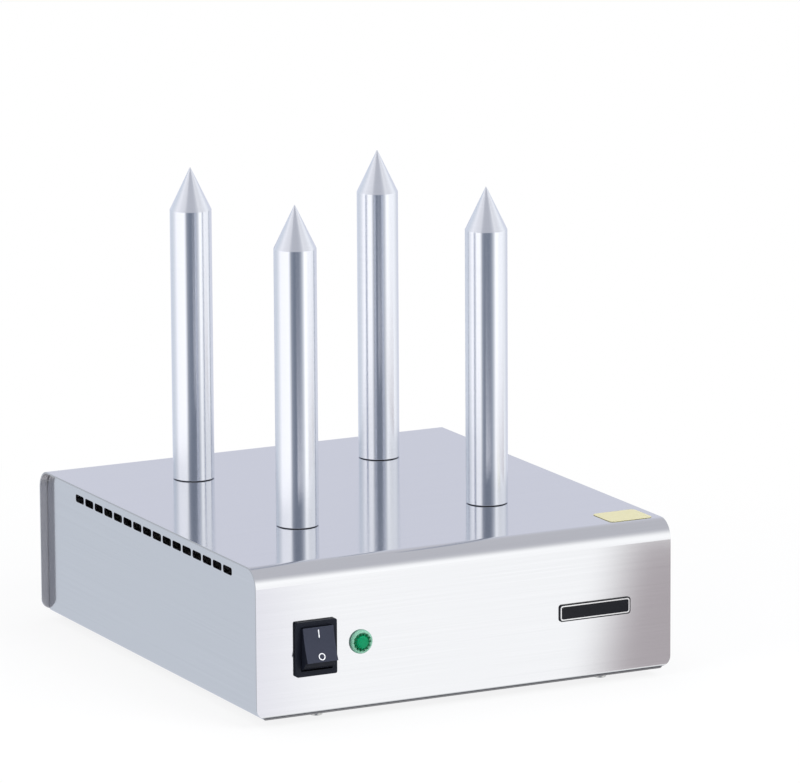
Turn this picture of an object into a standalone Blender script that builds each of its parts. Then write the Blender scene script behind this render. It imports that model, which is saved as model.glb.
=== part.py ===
"""Hot dog spike machine: four heated bun spikes on a bent sheet casing.

Metres, +Z up. The front faces -Y and the machine stands on its feet at Z = 0.
"""

import math

import bmesh
import bpy
from mathutils import Matrix, Vector

# Casing
COVER_WIDTH = 0.269
COVER_DEPTH = 0.302
CASING_HEIGHT = 0.0885  # from the underside of the tray to the top of the cover
COVER_SHEET = 0.001
COVER_BEND = 0.0114  # outer radius of the two large bends
COVER_CORNER = 0.006  # rounded lower corners of the front and the back
RETURN_BEND = 0.0013  # outer radius of the bend into each bottom return
RETURN_DEPTH = 0.015
TRAY_SHEET = 0.001
TRAY_BEND = 0.0018
SIDE_OVERHANG = 0.0046  # how far the cover stands out beyond the tray's sides
FIT_GAP = 0.0003  # between pieces that touch
FACE_GAP = 0.0001  # under plates that are stuck on
MERGE_DISTANCE = 0.000005
HOLE_CLEARANCE = 0.0003
CUT_OVERRUN = 0.004

# Vent slots, one row near the top of each side
SLOT_COUNT = 16
SLOT_PITCH = 0.01373
SLOT_LENGTH = 0.0118
SLOT_HEIGHT = 0.0046
SLOT_CORNER = 0.0015
SLOT_DROP = 0.0098  # below the top of the cover
SLOT_ROW_OFFSET = -0.001

# Spikes and what holds them
SPIKE_RADIUS = 0.0125
SPIKE_HEIGHT = 0.1894
SPIKE_CONE = 0.0254
SPIKE_TIP = 0.0003
SPIKE_SPACING_X = 0.1247
SPIKE_SPACING_Y = 0.142
SPIKE_OFFSET_Y = 0.0137  # the four stand towards the back
SPIKE_BORE_ROOF = 0.012  # solid metal between the bore and the cone
SPIGOT_RADIUS = 0.008
SPIGOT_TAIL = 0.002  # thread left under the nut
WASHER_RADIUS = 0.015
WASHER_THICKNESS = 0.0015
SPIKE_NUT_FLATS = 0.024
SPIKE_NUT_HEIGHT = 0.006

# Cartridge heaters
HEATER_RADIUS = 0.005
HEATER_FLANGE_RADIUS = 0.0072
HEATER_FLANGE = 0.0015
HEATER_HEAD_RADIUS = 0.0042
HEATER_HEAD = 0.006
HEATER_TOP_GAP = 0.002

# Rocker switch
SWITCH_INSET = 0.0371  # from the cover's left edge to the switch's middle
PANEL_CONTROLS_Z = 0.0397  # above the underside of the tray
BEZEL_WIDTH = 0.0259
BEZEL_HEIGHT = 0.0321
BEZEL_THICKNESS = 0.002
BEZEL_CORNER = 0.0016
SWITCH_BODY_WIDTH = 0.0216
SWITCH_BODY_HEIGHT = 0.0296
SWITCH_BODY_DEPTH = 0.021
SWITCH_BODY_CORNER = 0.0008
ROCKER_WIDTH = 0.0194
ROCKER_SIDE_GAP = 0.0003
ROCKER_RADIUS = 0.0131
ROCKER_END_GAP = 0.0004
ROCKER_FACE_RADIUS = 0.0151  # from the pivot to the ends of its face
ROCKER_FACE_ANGLE = math.radians(43)
ROCKER_END_ANGLE = math.radians(50)  # where its ends come down to their circle
ROCKER_TILT = math.radians(17.5)  # from the middle to either rest
ROCKER_SKIRT_ANGLE = math.radians(86)
ROCKER_DISH = 0.0008
ROCKER_WALL = 0.0022
ROCKER_HUB = 0.0032
ROCKER_EDGE = 0.0006
PIVOT_DEPTH = 0.003  # behind the face of the panel
PIVOT_PIN = 0.0015
PIVOT_PIN_LENGTH = 0.0009
PIVOT_CLEARANCE = 0.00012
SWITCH_LIP = 0.0012
SNAP_WIDTH = 0.006
SNAP_STEP = 0.0012
SNAP_LENGTH = 0.005
SNAP_ROOT = 0.0004
TAB_WIDTH = 0.0063
TAB_THICKNESS = 0.0008
TAB_LENGTH = 0.008
TAB_SPACING_X = 0.0105
TAB_SPACING_Z = 0.0125

# Indicator lamp
LAMP_SPACING = 0.0291  # from the switch's middle
LAMP_RIM_RADIUS = 0.0071
LAMP_RIM = 0.0012
LAMP_RIM_EDGE = 0.0004
LAMP_DOME_RADIUS = 0.0054
LAMP_DOME = 0.0011
LAMP_SKIRT_RADIUS = 0.0048
LAMP_SKIRT = 0.005
LAMP_WALL = 0.0009
LAMP_BODY_RADIUS = 0.0061
LAMP_BODY_LENGTH = 0.024
LAMP_BODY_FLANGE = 0.0068
LAMP_BODY_RIM = 0.0006
LAMP_CLIP_RADIUS = 0.0095
LAMP_CLIP = 0.0009

# Plates stuck on the cover
BADGE_INSET = 0.0506  # from the cover's right edge
BADGE_Z = 0.0411
BADGE_WIDTH = 0.047
BADGE_HEIGHT = 0.0102
BADGE_THICKNESS = 0.0008
BADGE_CORNER = 0.0018
LABEL_INSET_X = 0.0193
LABEL_INSET_Y = 0.0235
LABEL_WIDTH = 0.028
LABEL_DEPTH = 0.024
LABEL_THICKNESS = 0.0002
LABEL_CORNER = 0.003

# Cable gland on the back
GLAND_INSET = 0.0495
GLAND_Z = 0.03
GLAND_THREAD = 0.008
GLAND_BORE = 0.0045
GLAND_HEX_FLATS = 0.022
GLAND_HEX = 0.0045
GLAND_COLLAR_RADIUS = 0.0078
GLAND_COLLAR = 0.006
GLAND_THREAD_LENGTH = 0.009
GLAND_NUT_FLATS = 0.02
GLAND_NUT_HEX = 0.0075
GLAND_NUT_DOME = 0.005
GLAND_NUT_SHOULDER = 0.0012
GLAND_MOUTH = 0.0052
GLAND_LOCK_FLATS = 0.022
GLAND_LOCK = 0.004
GLAND_SEAL_WALL = 0.0012

# Terminal block on the tray
BLOCK_X = 0.03
BLOCK_Y = 0.045
BLOCK_LENGTH = 0.07
BLOCK_DEPTH = 0.022
BLOCK_FOOT = 0.008
BLOCK_HEIGHT = 0.017
BLOCK_POLES = 6
BLOCK_POLE_PITCH = 0.0085
BLOCK_TOWER_DEPTH = 0.012
WELL_RADIUS = 0.0022
WELL_DEPTH = 0.005
MOUTH_RADIUS = 0.0022
MOUTH_DEPTH = 0.004
MOUTH_HEIGHT = 0.0062
BLOCK_SCREW_SPACING = 0.06

# Thermal cut-out under the top
CUT_OUT_RADIUS = 0.008
CUT_OUT_BODY = 0.009
CUT_OUT_PLATE = 0.0008
CUT_OUT_PLATE_LENGTH = 0.032
CUT_OUT_PLATE_WIDTH = 0.012
CUT_OUT_PLATE_CORNER = 0.004
STUD_SPACING = 0.024
STUD_RADIUS = 0.0015
STUD_LENGTH = 0.0065
STUD_NUT_FLATS = 0.0055
STUD_NUT = 0.0024

# Fasteners
SCREW_RADIUS = 0.002
SCREW_LENGTH = 0.008
SCREW_HEAD_RADIUS = 0.0038
SCREW_HEAD = 0.0022
SCREW_CROWN = 0.0007
RECESS_WIDTH = 0.0009
RECESS_SPAN = 0.0042
RECESS_DEPTH = 0.0011
BASE_SCREW_INSET_X = 0.042
BASE_SCREW_INSET_Y = 0.0095
EARTH_INSET_X = 0.0745
EARTH_INSET_Y = 0.041
EARTH_BOLT_FLATS = 0.007
EARTH_BOLT_HEAD = 0.0028
EARTH_BOLT_LENGTH = 0.014
EARTH_NUT = 0.0032
EARTH_RING_RADIUS = 0.0055
EARTH_RING = 0.0008
EARTH_BARREL_RADIUS = 0.0019
EARTH_BARREL = 0.009
EARTH_BARREL_OVERLAP = 0.001

# Push-in feet
FOOT_HEIGHT = 0.005
FOOT_RADIUS = 0.0092
FOOT_TOE = 0.0008
FOOT_NECK = 0.003
FOOT_BARB = 0.0043
FOOT_BARB_HEIGHT = 0.0032
FOOT_BARB_TIP = 0.0022
FOOT_RECESS_RADIUS = 0.0035
FOOT_RECESS = 0.0022
FOOT_INSET_X = 0.036
FOOT_INSET_Y = 0.037

# Leads
LEAD_RADIUS = 0.0013
HEATER_LEAD_RADIUS = 0.0017
LEAD_REACH_SHARE = 0.42  # length of a lead's straight pull, as a share of its span
LEAD_POINTS = 11
LEAD_SLOPE = math.radians(-10)
LEAD_TURN = math.radians(37)

BEND_STEPS = 8
SMALL_BEND_STEPS = 4
CORNER_STEPS = 3
ROUND_STEPS = 24
SMALL_ROUND_STEPS = 12
TINY_ROUND_STEPS = 8
SHARP_ANGLE = math.radians(35)

TRAY_HALF_WIDTH = COVER_WIDTH / 2 - SIDE_OVERHANG
TRAY_HALF_DEPTH = COVER_DEPTH / 2 - RETURN_BEND - FIT_GAP
TRAY_FLOOR = FOOT_HEIGHT
FLOOR_TOP = TRAY_FLOOR + TRAY_SHEET
COVER_BOTTOM = FLOOR_TOP + FIT_GAP
COVER_TOP = FOOT_HEIGHT + CASING_HEIGHT
COVER_UNDERSIDE = COVER_TOP - COVER_SHEET
FRONT = -COVER_DEPTH / 2
BACK = COVER_DEPTH / 2
CONTROLS_Z = TRAY_FLOOR + PANEL_CONTROLS_Z
SWITCH_X = SWITCH_INSET - COVER_WIDTH / 2
LAMP_X = SWITCH_X + LAMP_SPACING
BADGE_X = COVER_WIDTH / 2 - BADGE_INSET
LABEL_X = COVER_WIDTH / 2 - LABEL_INSET_X
LABEL_Y = LABEL_INSET_Y - COVER_DEPTH / 2
GLAND_X = COVER_WIDTH / 2 - GLAND_INSET
EARTH_X = EARTH_INSET_X - COVER_WIDTH / 2
EARTH_Y = COVER_DEPTH / 2 - EARTH_INSET_Y
CORNERS = {
    "front_left": (-1, -1),
    "front_right": (1, -1),
    "rear_left": (-1, 1),
    "rear_right": (1, 1),
}

# Turns a shape made along Z so that its top points to the front, and one that points to the back.
TO_FRONT = Matrix.Rotation(math.radians(90), 4, "X")
TO_BACK = Matrix.Rotation(math.radians(-90), 4, "X")
# Turns a shape made along Z so that it lies along X, with its first axis pointing to the back.
ALONG_X = Matrix(((0, 0, 1, 0), (1, 0, 0, 0), (0, 1, 0, 0), (0, 0, 0, 1)))


def clear_scene():
    for obj in list(bpy.data.objects):
        bpy.data.objects.remove(obj)


def new_collection(name):
    collection = bpy.data.collections.new(name)
    bpy.context.scene.collection.children.link(collection)
    return collection


clear_scene()
parts = new_collection("hot_dog_spike_machine")
cutters = new_collection("cutters")


def material(name, colour, roughness, metallic=0.0, alpha=1.0):
    made = bpy.data.materials.new(name)
    made.use_nodes = True
    made.diffuse_color = (*colour, alpha)
    shader = made.node_tree.nodes["Principled BSDF"]
    shader.inputs["Base Color"].default_value = (*colour, 1.0)
    shader.inputs["Roughness"].default_value = roughness
    shader.inputs["Metallic"].default_value = metallic
    shader.inputs["Alpha"].default_value = alpha
    return made


brushed_steel = material("brushed_steel", (0.74, 0.74, 0.77), 0.28, 1.0)
tray_steel = material("tray_steel", (0.60, 0.63, 0.69), 0.24, 1.0)
turned_aluminium = material("turned_aluminium", (0.86, 0.87, 0.90), 0.16, 1.0)
zinc_steel = material("zinc_steel", (0.62, 0.62, 0.60), 0.35, 1.0)
heater_steel = material("heater_steel", (0.50, 0.50, 0.50), 0.40, 1.0)
brass = material("brass", (0.78, 0.60, 0.28), 0.30, 1.0)
black_plastic = material("black_plastic", (0.02, 0.021, 0.027), 0.42)
rocker_plastic = material("rocker_plastic", (0.045, 0.047, 0.06), 0.38)
lens_green = material("lens_green", (0.01, 0.34, 0.14), 0.12)
lamp_plastic = material("lamp_plastic", (0.75, 0.76, 0.72), 0.45)
badge_black = material("badge_black", (0.012, 0.014, 0.02), 0.25)
label_yellow = material("label_yellow", (0.86, 0.80, 0.42), 0.50)
foot_rubber = material("foot_rubber", (0.02, 0.02, 0.02), 0.85)
washer_mica = material("washer_mica", (0.55, 0.50, 0.42), 0.70)
block_ceramic = material("block_ceramic", (0.82, 0.80, 0.74), 0.55)
lead_sleeve = material("lead_sleeve", (0.80, 0.77, 0.70), 0.80)
earth_sleeve = material("earth_sleeve", (0.25, 0.55, 0.12), 0.60)


# The rocker's outline, from which the reach of the whole machine to the front follows


def arc(centre, radius, start, end, steps):
    """Points on a circle from one angle to another, both ends included."""
    angles = (start + (end - start) * i / steps for i in range(steps + 1))
    return [
        (centre[0] + radius * math.cos(a), centre[1] + radius * math.sin(a))
        for a in angles
    ]


def round_corner(before, corner, after, radius, steps):
    """The points of a fillet that replaces a corner between two straight lines."""
    before, corner, after = Vector(before), Vector(corner), Vector(after)
    one = (before - corner).normalized()
    two = (after - corner).normalized()
    half = one.angle(two) / 2
    centre = corner + (one + two).normalized() * (radius / math.sin(half))
    reach = radius / math.tan(half)
    first = corner + one * reach - centre
    sweep = first.angle_signed(corner + two * reach - centre)
    return [
        tuple(centre + Matrix.Rotation(-sweep * i / steps, 2) @ first)
        for i in range(steps + 1)
    ]


def rocker_outline():
    """(forward, up) round the pivot, with the rocker level. Its ends follow a circle about the pivot."""
    chord = ROCKER_FACE_RADIUS * math.cos(ROCKER_FACE_ANGLE)
    top = ROCKER_FACE_RADIUS * math.sin(ROCKER_FACE_ANGLE)
    middle = (chord - ROCKER_DISH, 0)
    top_end = arc((0, 0), ROCKER_RADIUS, ROCKER_END_ANGLE, ROCKER_SKIRT_ANGLE, SMALL_BEND_STEPS)
    upper = round_corner(middle, (chord, top), top_end[0], ROCKER_EDGE, CORNER_STEPS)
    upper += top_end
    inner = ROCKER_RADIUS - ROCKER_WALL
    skirt = ROCKER_SKIRT_ANGLE
    upper += [(inner * math.cos(skirt), inner * math.sin(skirt)), (ROCKER_HUB, ROCKER_HUB)]
    upper += arc((0, 0), ROCKER_HUB, math.radians(90), math.radians(180), CORNER_STEPS)
    lower = [(forward, -up) for forward, up in reversed(upper[:-1])]
    return [middle] + upper + lower


def turned_by(points, angle):
    return [tuple(Matrix.Rotation(angle, 2) @ Vector(point)) for point in points]


FRONT_REACH = max(u for u, _ in turned_by(rocker_outline(), ROCKER_TILT)) - PIVOT_DEPTH
BACK_REACH = 2 * FIT_GAP + GLAND_HEX + GLAND_NUT_HEX + GLAND_NUT_DOME

# The middle of the machine's whole depth is at Y = 0.
machine = bpy.data.objects.new("machine", None)
machine.location.y = (FRONT_REACH - BACK_REACH) / 2
parts.objects.link(machine)


# Making and cutting shapes


def place(obj, finish, matrix, helper=False, parent=None):
    """Puts a shape in its collection, under the machine, with its finish."""
    for collection in list(obj.users_collection):
        collection.objects.unlink(obj)
    (cutters if helper else parts).objects.link(obj)
    obj.parent = parent or machine
    obj.matrix_local = matrix
    if finish:
        obj.data.materials.clear()
        obj.data.materials.append(finish)
    if helper:
        obj.hide_render = True
        obj.display_type = "WIRE"
    return obj


def at(x, y, z, turn=Matrix()):
    return Matrix.Translation((x, y, z)) @ turn


def from_bmesh(name, bm):
    mesh = bpy.data.meshes.new(name)
    bm.to_mesh(mesh)
    bm.free()
    return bpy.data.objects.new(name, mesh)


def shade_round(obj):
    obj.data.shade_smooth()
    obj.data.set_sharp_from_angle(angle=SHARP_ANGLE)
    return obj


def frozen(obj):
    """The object as its modifiers or its curve make it, as a plain mesh with its doubles merged."""
    name = obj.name
    scene = bpy.context.scene.collection
    if obj.name not in scene.objects:
        scene.objects.link(obj)
    graph = bpy.context.evaluated_depsgraph_get()
    mesh = bpy.data.meshes.new_from_object(obj.evaluated_get(graph))
    bpy.data.objects.remove(obj)
    bm = bmesh.new()
    bm.from_mesh(mesh)
    bmesh.ops.remove_doubles(bm, verts=bm.verts, dist=MERGE_DISTANCE)
    bmesh.ops.recalc_face_normals(bm, faces=bm.faces)
    bm.to_mesh(mesh)
    bm.free()
    mesh.name = name
    return shade_round(bpy.data.objects.new(name, mesh))


def box(name, width, depth, height):
    """A block with its middle at its origin."""
    bm = bmesh.new()
    bmesh.ops.create_cube(bm, size=1)
    bmesh.ops.scale(bm, vec=(width, depth, height), verts=bm.verts)
    return from_bmesh(name, bm)


def rods(name, places, radius, length, steps=SMALL_ROUND_STEPS):
    """Cylinders along Z, each with its middle at its place, in one mesh."""
    bm = bmesh.new()
    for x, y in places:
        bmesh.ops.create_cone(
            bm,
            cap_ends=True,
            segments=steps,
            radius1=radius,
            radius2=radius,
            depth=length,
            matrix=Matrix.Translation((x, y, 0)),
        )
    return shade_round(from_bmesh(name, bm))


def rectangle(width, height, corner, steps=CORNER_STEPS):
    """The outline of a rounded rectangle round its middle."""
    points = []
    for k, (sx, sy) in enumerate(((1, 1), (-1, 1), (-1, -1), (1, -1))):
        centre = (sx * (width / 2 - corner), sy * (height / 2 - corner))
        start = math.radians(90) * k
        points += arc(centre, corner, start, start + math.radians(90), steps)
    return points


def polygon(flats, sides=6):
    """The outline of a nut or bolt head, from its size across flats."""
    radius = flats / 2 / math.cos(math.pi / sides)
    return arc((0, 0), radius, 0, 2 * math.pi * (sides - 1) / sides, sides - 1)


def circle(radius, steps=SMALL_ROUND_STEPS):
    return arc((0, 0), radius, 0, 2 * math.pi * (steps - 1) / steps, steps - 1)


def plate(name, outlines, thickness):
    """A flat piece, its middle plane at Z = 0. The outlines after the first are holes in it."""
    curve = bpy.data.curves.new(name, "CURVE")
    curve.dimensions = "2D"
    curve.fill_mode = "BOTH"
    curve.extrude = thickness / 2
    for outline in outlines:
        spline = curve.splines.new("POLY")
        spline.points.add(len(outline) - 1)
        for point, (x, y) in zip(spline.points, outline):
            point.co = (x, y, 0, 1)
        spline.use_cyclic_u = True
    return frozen(bpy.data.objects.new(name, curve))


def turned(name, profile, steps=ROUND_STEPS, ring=False):
    """(radius, height) points, down the outer side, turned round Z. A ring's profile closes."""
    bm = bmesh.new()
    verts = [bm.verts.new((radius, 0, height)) for radius, height in profile]
    for first, second in zip(verts, verts[1:]):
        bm.edges.new((first, second))
    if ring:
        bm.edges.new((verts[-1], verts[0]))
    obj = from_bmesh(name, bm)
    screw = obj.modifiers.new("turn", "SCREW")
    screw.steps = steps
    screw.render_steps = steps
    screw.use_merge_vertices = True
    screw.merge_threshold = MERGE_DISTANCE
    return frozen(obj)


def bent_sheet(name, path, sweep, thickness):
    """A folded sheet: the path of its outer face, swept, with its wall behind that face."""
    bm = bmesh.new()
    near = [bm.verts.new(point) for point in path]
    far = [bm.verts.new(point + sweep) for point in path]
    for first, second, third, fourth in zip(near, near[1:], far[1:], far):
        bm.faces.new((first, second, third, fourth))
    obj = from_bmesh(name, bm)
    wall = obj.modifiers.new("wall", "SOLIDIFY")
    wall.thickness = thickness
    wall.offset = -1
    wall.use_even_offset = True
    return frozen(obj)


def combine(target, tool, operation):
    change = target.modifiers.new(tool.name, "BOOLEAN")
    change.operation = operation
    change.solver = "EXACT"
    change.object = tool


def cut(target, tool, matrix):
    combine(target, place(tool, None, matrix, helper=True), "DIFFERENCE")


def join(target, tool, matrix):
    combine(target, place(tool, None, matrix, helper=True), "UNION")


def pull_route(start, leave, end, arrive):
    """Points of a lead that leaves and arrives along the given directions."""
    reach = (end - start).length * LEAD_REACH_SHARE
    one = start + leave * reach
    two = end + arrive * reach
    points = []
    for i in range(LEAD_POINTS):
        t = i / (LEAD_POINTS - 1)
        s = 1 - t
        points.append(start * s**3 + one * 3 * s * s * t + two * 3 * s * t * t + end * t**3)
    return points


def lead(name, points, radius, finish):
    curve = bpy.data.curves.new(name, "CURVE")
    curve.dimensions = "3D"
    curve.bevel_depth = radius
    curve.bevel_resolution = 2
    curve.use_fill_caps = True
    spline = curve.splines.new("POLY")
    spline.points.add(len(points) - 1)
    for point, place_at in zip(spline.points, points):
        point.co = (*place_at, 1)
    spline.use_smooth = True
    return place(bpy.data.objects.new(name, curve), finish, Matrix())


# Where the fasteners and the feet stand


def spike_place(corner):
    sx, sy = CORNERS[corner]
    return sx * SPIKE_SPACING_X / 2, SPIKE_OFFSET_Y + sy * SPIKE_SPACING_Y / 2


def base_screw_place(corner):
    sx, sy = CORNERS[corner]
    return (
        sx * (COVER_WIDTH / 2 - BASE_SCREW_INSET_X),
        sy * (COVER_DEPTH / 2 - BASE_SCREW_INSET_Y),
    )


def foot_place(corner):
    sx, sy = CORNERS[corner]
    return sx * (COVER_WIDTH / 2 - FOOT_INSET_X), sy * (COVER_DEPTH / 2 - FOOT_INSET_Y)


def stud_places():
    return [(side * STUD_SPACING / 2, SPIKE_OFFSET_Y) for side in (-1, 1)]


def block_screw_places():
    return [(BLOCK_X + side * BLOCK_SCREW_SPACING / 2, BLOCK_Y) for side in (-1, 1)]


def pole_x(pole):
    return BLOCK_X + (pole - (BLOCK_POLES - 1) / 2) * BLOCK_POLE_PITCH


# Casing


def cover_path():
    """The outer face from the rear return, up, over and down to the front return."""
    big, small = COVER_BEND, RETURN_BEND
    low, high = COVER_BOTTOM, COVER_TOP
    quarter = math.radians(90)
    path = [(BACK - RETURN_DEPTH, low)]
    path += arc((BACK - small, low + small), small, -quarter, 0, SMALL_BEND_STEPS)
    path += arc((BACK - big, high - big), big, 0, quarter, BEND_STEPS)
    path += arc((FRONT + big, high - big), big, quarter, 2 * quarter, BEND_STEPS)
    path += arc((FRONT + small, low + small), small, 2 * quarter, 3 * quarter, SMALL_BEND_STEPS)
    path += [(FRONT + RETURN_DEPTH, low)]
    return [Vector((-COVER_WIDTH / 2, y, z)) for y, z in path]


def corner_cutter(name, radius, length):
    """All that a rounded corner leaves out: the corner is at the origin, the material at +X and +Y."""
    over = CUT_OVERRUN
    fillet = arc((radius, radius), radius, math.radians(180), math.radians(270), BEND_STEPS)
    outline = [(-over, -over), (-over, radius)] + fillet + [(radius, -over)]
    return plate(name, [outline], length)


def make_cover():
    sweep = Vector((COVER_WIDTH, 0, 0))
    cover = bent_sheet("cover", cover_path(), sweep, COVER_SHEET)
    through = COVER_DEPTH + 2 * CUT_OVERRUN
    return_half = TRAY_HALF_WIDTH - TRAY_BEND - FIT_GAP
    end_width = COVER_WIDTH / 2 - return_half + CUT_OVERRUN
    for side, name, angle in ((-1, "left", 0), (1, "right", 90)):
        corner = corner_cutter(f"cover_corner_{name}", COVER_CORNER, through)
        turn = TO_FRONT @ Matrix.Rotation(math.radians(angle), 4, "Z")
        cut(cover, corner, at(side * COVER_WIDTH / 2, 0, COVER_BOTTOM, turn))
        end_depth = COVER_DEPTH - 2 * RETURN_BEND + FIT_GAP
        end = box(f"return_end_{name}", end_width, end_depth, 2 * RETURN_BEND)
        cut(cover, end, at(side * (return_half + end_width / 2), 0, COVER_BOTTOM))
    spots = [spike_place(corner) for corner in CORNERS]
    holes = rods("spigot_holes", spots, SPIGOT_RADIUS + HOLE_CLEARANCE, 2 * CUT_OVERRUN, ROUND_STEPS)
    cut(cover, holes, at(0, 0, COVER_TOP))
    opening = rectangle(
        SWITCH_BODY_WIDTH + 2 * HOLE_CLEARANCE, SWITCH_BODY_HEIGHT + 2 * HOLE_CLEARANCE, SWITCH_BODY_CORNER
    )
    hole = plate("switch_opening", [opening], 2 * CUT_OVERRUN)
    cut(cover, hole, at(SWITCH_X, FRONT, CONTROLS_Z, TO_FRONT))
    hole = rods("lamp_hole", [(0, 0)], LAMP_BODY_RADIUS + HOLE_CLEARANCE, 2 * CUT_OVERRUN)
    cut(cover, hole, at(LAMP_X, FRONT, CONTROLS_Z, TO_FRONT))
    hole = rods("gland_hole", [(0, 0)], GLAND_THREAD + HOLE_CLEARANCE, 2 * CUT_OVERRUN, ROUND_STEPS)
    cut(cover, hole, at(GLAND_X, BACK, TRAY_FLOOR + GLAND_Z, TO_FRONT))
    spots = [base_screw_place(corner) for corner in CORNERS]
    holes = rods("return_holes", spots, SCREW_RADIUS + HOLE_CLEARANCE, 2 * CUT_OVERRUN)
    cut(cover, holes, at(0, 0, COVER_BOTTOM))
    welded = STUD_LENGTH + COVER_SHEET / 2
    studs = rods("welded_studs", stud_places(), STUD_RADIUS, welded)
    join(cover, studs, at(0, 0, COVER_TOP - COVER_SHEET / 2 - welded / 2))
    place(cover, brushed_steel, Matrix())


def slot_cutter():
    """One bar for each vent slot, right through the casing."""
    bars = bmesh.new()
    outline = rectangle(SLOT_LENGTH, SLOT_HEIGHT, SLOT_CORNER)
    for k in range(SLOT_COUNT):
        bar = plate("bar", [outline], COVER_WIDTH)
        shift = (k - (SLOT_COUNT - 1) / 2) * SLOT_PITCH
        bar.data.transform(Matrix.Translation((shift, 0, 0)))
        bars.from_mesh(bar.data)
        bpy.data.objects.remove(bar)
    return from_bmesh("slots", bars)


def make_tray():
    half, bend = TRAY_HALF_WIDTH, TRAY_BEND
    low, high = TRAY_FLOOR, COVER_UNDERSIDE - FIT_GAP
    quarter = math.radians(90)
    path = [(-half, high)]
    path += arc((-half + bend, low + bend), bend, 2 * quarter, 3 * quarter, SMALL_BEND_STEPS)
    path += arc((half - bend, low + bend), bend, 3 * quarter, 4 * quarter, SMALL_BEND_STEPS)
    path += [(half, high)]
    points = [Vector((x, TRAY_HALF_DEPTH, z)) for x, z in path]
    tray = bent_sheet("base_tray", points, Vector((0, -2 * TRAY_HALF_DEPTH, 0)), TRAY_SHEET)
    inner_bend = COVER_BEND - COVER_SHEET
    for end, name, angle in ((-1, "front", -90), (1, "rear", 180)):
        corner = corner_cutter(f"tray_corner_{name}", inner_bend, 2 * half + 2 * CUT_OVERRUN)
        turn = ALONG_X @ Matrix.Rotation(math.radians(angle), 4, "Z")
        cut(tray, corner, at(0, end * TRAY_HALF_DEPTH, high, turn))
    cut(tray, slot_cutter(), at(0, SLOT_ROW_OFFSET, COVER_TOP - SLOT_DROP, ALONG_X))
    through = 2 * CUT_OVERRUN
    spots = [foot_place(corner) for corner in CORNERS]
    cut(tray, rods("foot_holes", spots, FOOT_NECK + HOLE_CLEARANCE, through), at(0, 0, TRAY_FLOOR))
    spots = [base_screw_place(corner) for corner in CORNERS] + block_screw_places()
    spots += [(EARTH_X, EARTH_Y)]
    cut(tray, rods("screw_holes", spots, SCREW_RADIUS + HOLE_CLEARANCE, through), at(0, 0, TRAY_FLOOR))
    place(tray, tray_steel, Matrix())


def make_feet():
    neck = TRAY_SHEET + 2 * FIT_GAP
    top = FOOT_HEIGHT - FIT_GAP
    profile = [
        (0, top + neck + FOOT_BARB_HEIGHT),
        (FOOT_BARB_TIP, top + neck + FOOT_BARB_HEIGHT),
        (FOOT_BARB, top + neck),
        (FOOT_NECK, top + neck),
        (FOOT_NECK, top),
        (FOOT_RADIUS, top),
        (FOOT_RADIUS, FOOT_TOE),
        (FOOT_RADIUS - FOOT_TOE, 0),
        (FOOT_RECESS_RADIUS, 0),
        (FOOT_RECESS_RADIUS, FOOT_RECESS),
        (0, FOOT_RECESS),
    ]
    for corner in CORNERS:
        foot = turned(f"foot_{corner}", profile, SMALL_ROUND_STEPS)
        place(foot, foot_rubber, at(*foot_place(corner), 0))


def screw(name, length, finish, matrix):
    """A cross-recessed pan head screw: the seat of its head at its origin, its shank pointing up."""
    profile = [
        (0, length),
        (SCREW_RADIUS, length),
        (SCREW_RADIUS, 0),
        (SCREW_HEAD_RADIUS, 0),
        (SCREW_HEAD_RADIUS, SCREW_CROWN - SCREW_HEAD),
        (SCREW_HEAD_RADIUS - SCREW_CROWN, -SCREW_HEAD),
        (0, -SCREW_HEAD),
    ]
    made = turned(name, profile, SMALL_ROUND_STEPS)
    for k in (0, 1):
        bar = box(f"{name}_recess_{k}", RECESS_SPAN, RECESS_WIDTH, 2 * RECESS_DEPTH)
        turn = Matrix.Rotation(math.radians(90) * k, 4, "Z")
        cut(made, bar, matrix @ at(0, 0, -SCREW_HEAD, turn))
    return place(made, finish, matrix)


def make_base_screws():
    for corner in CORNERS:
        matrix = at(*base_screw_place(corner), TRAY_FLOOR - FIT_GAP)
        screw(f"base_screw_{corner}", SCREW_LENGTH, zinc_steel, matrix)


# Spikes


def nut(name, flats, height, bore, finish, matrix, steps=SMALL_ROUND_STEPS):
    """A hexagon nut with its middle at its origin."""
    return place(plate(name, [polygon(flats), circle(bore, steps)], height), finish, matrix)


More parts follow.
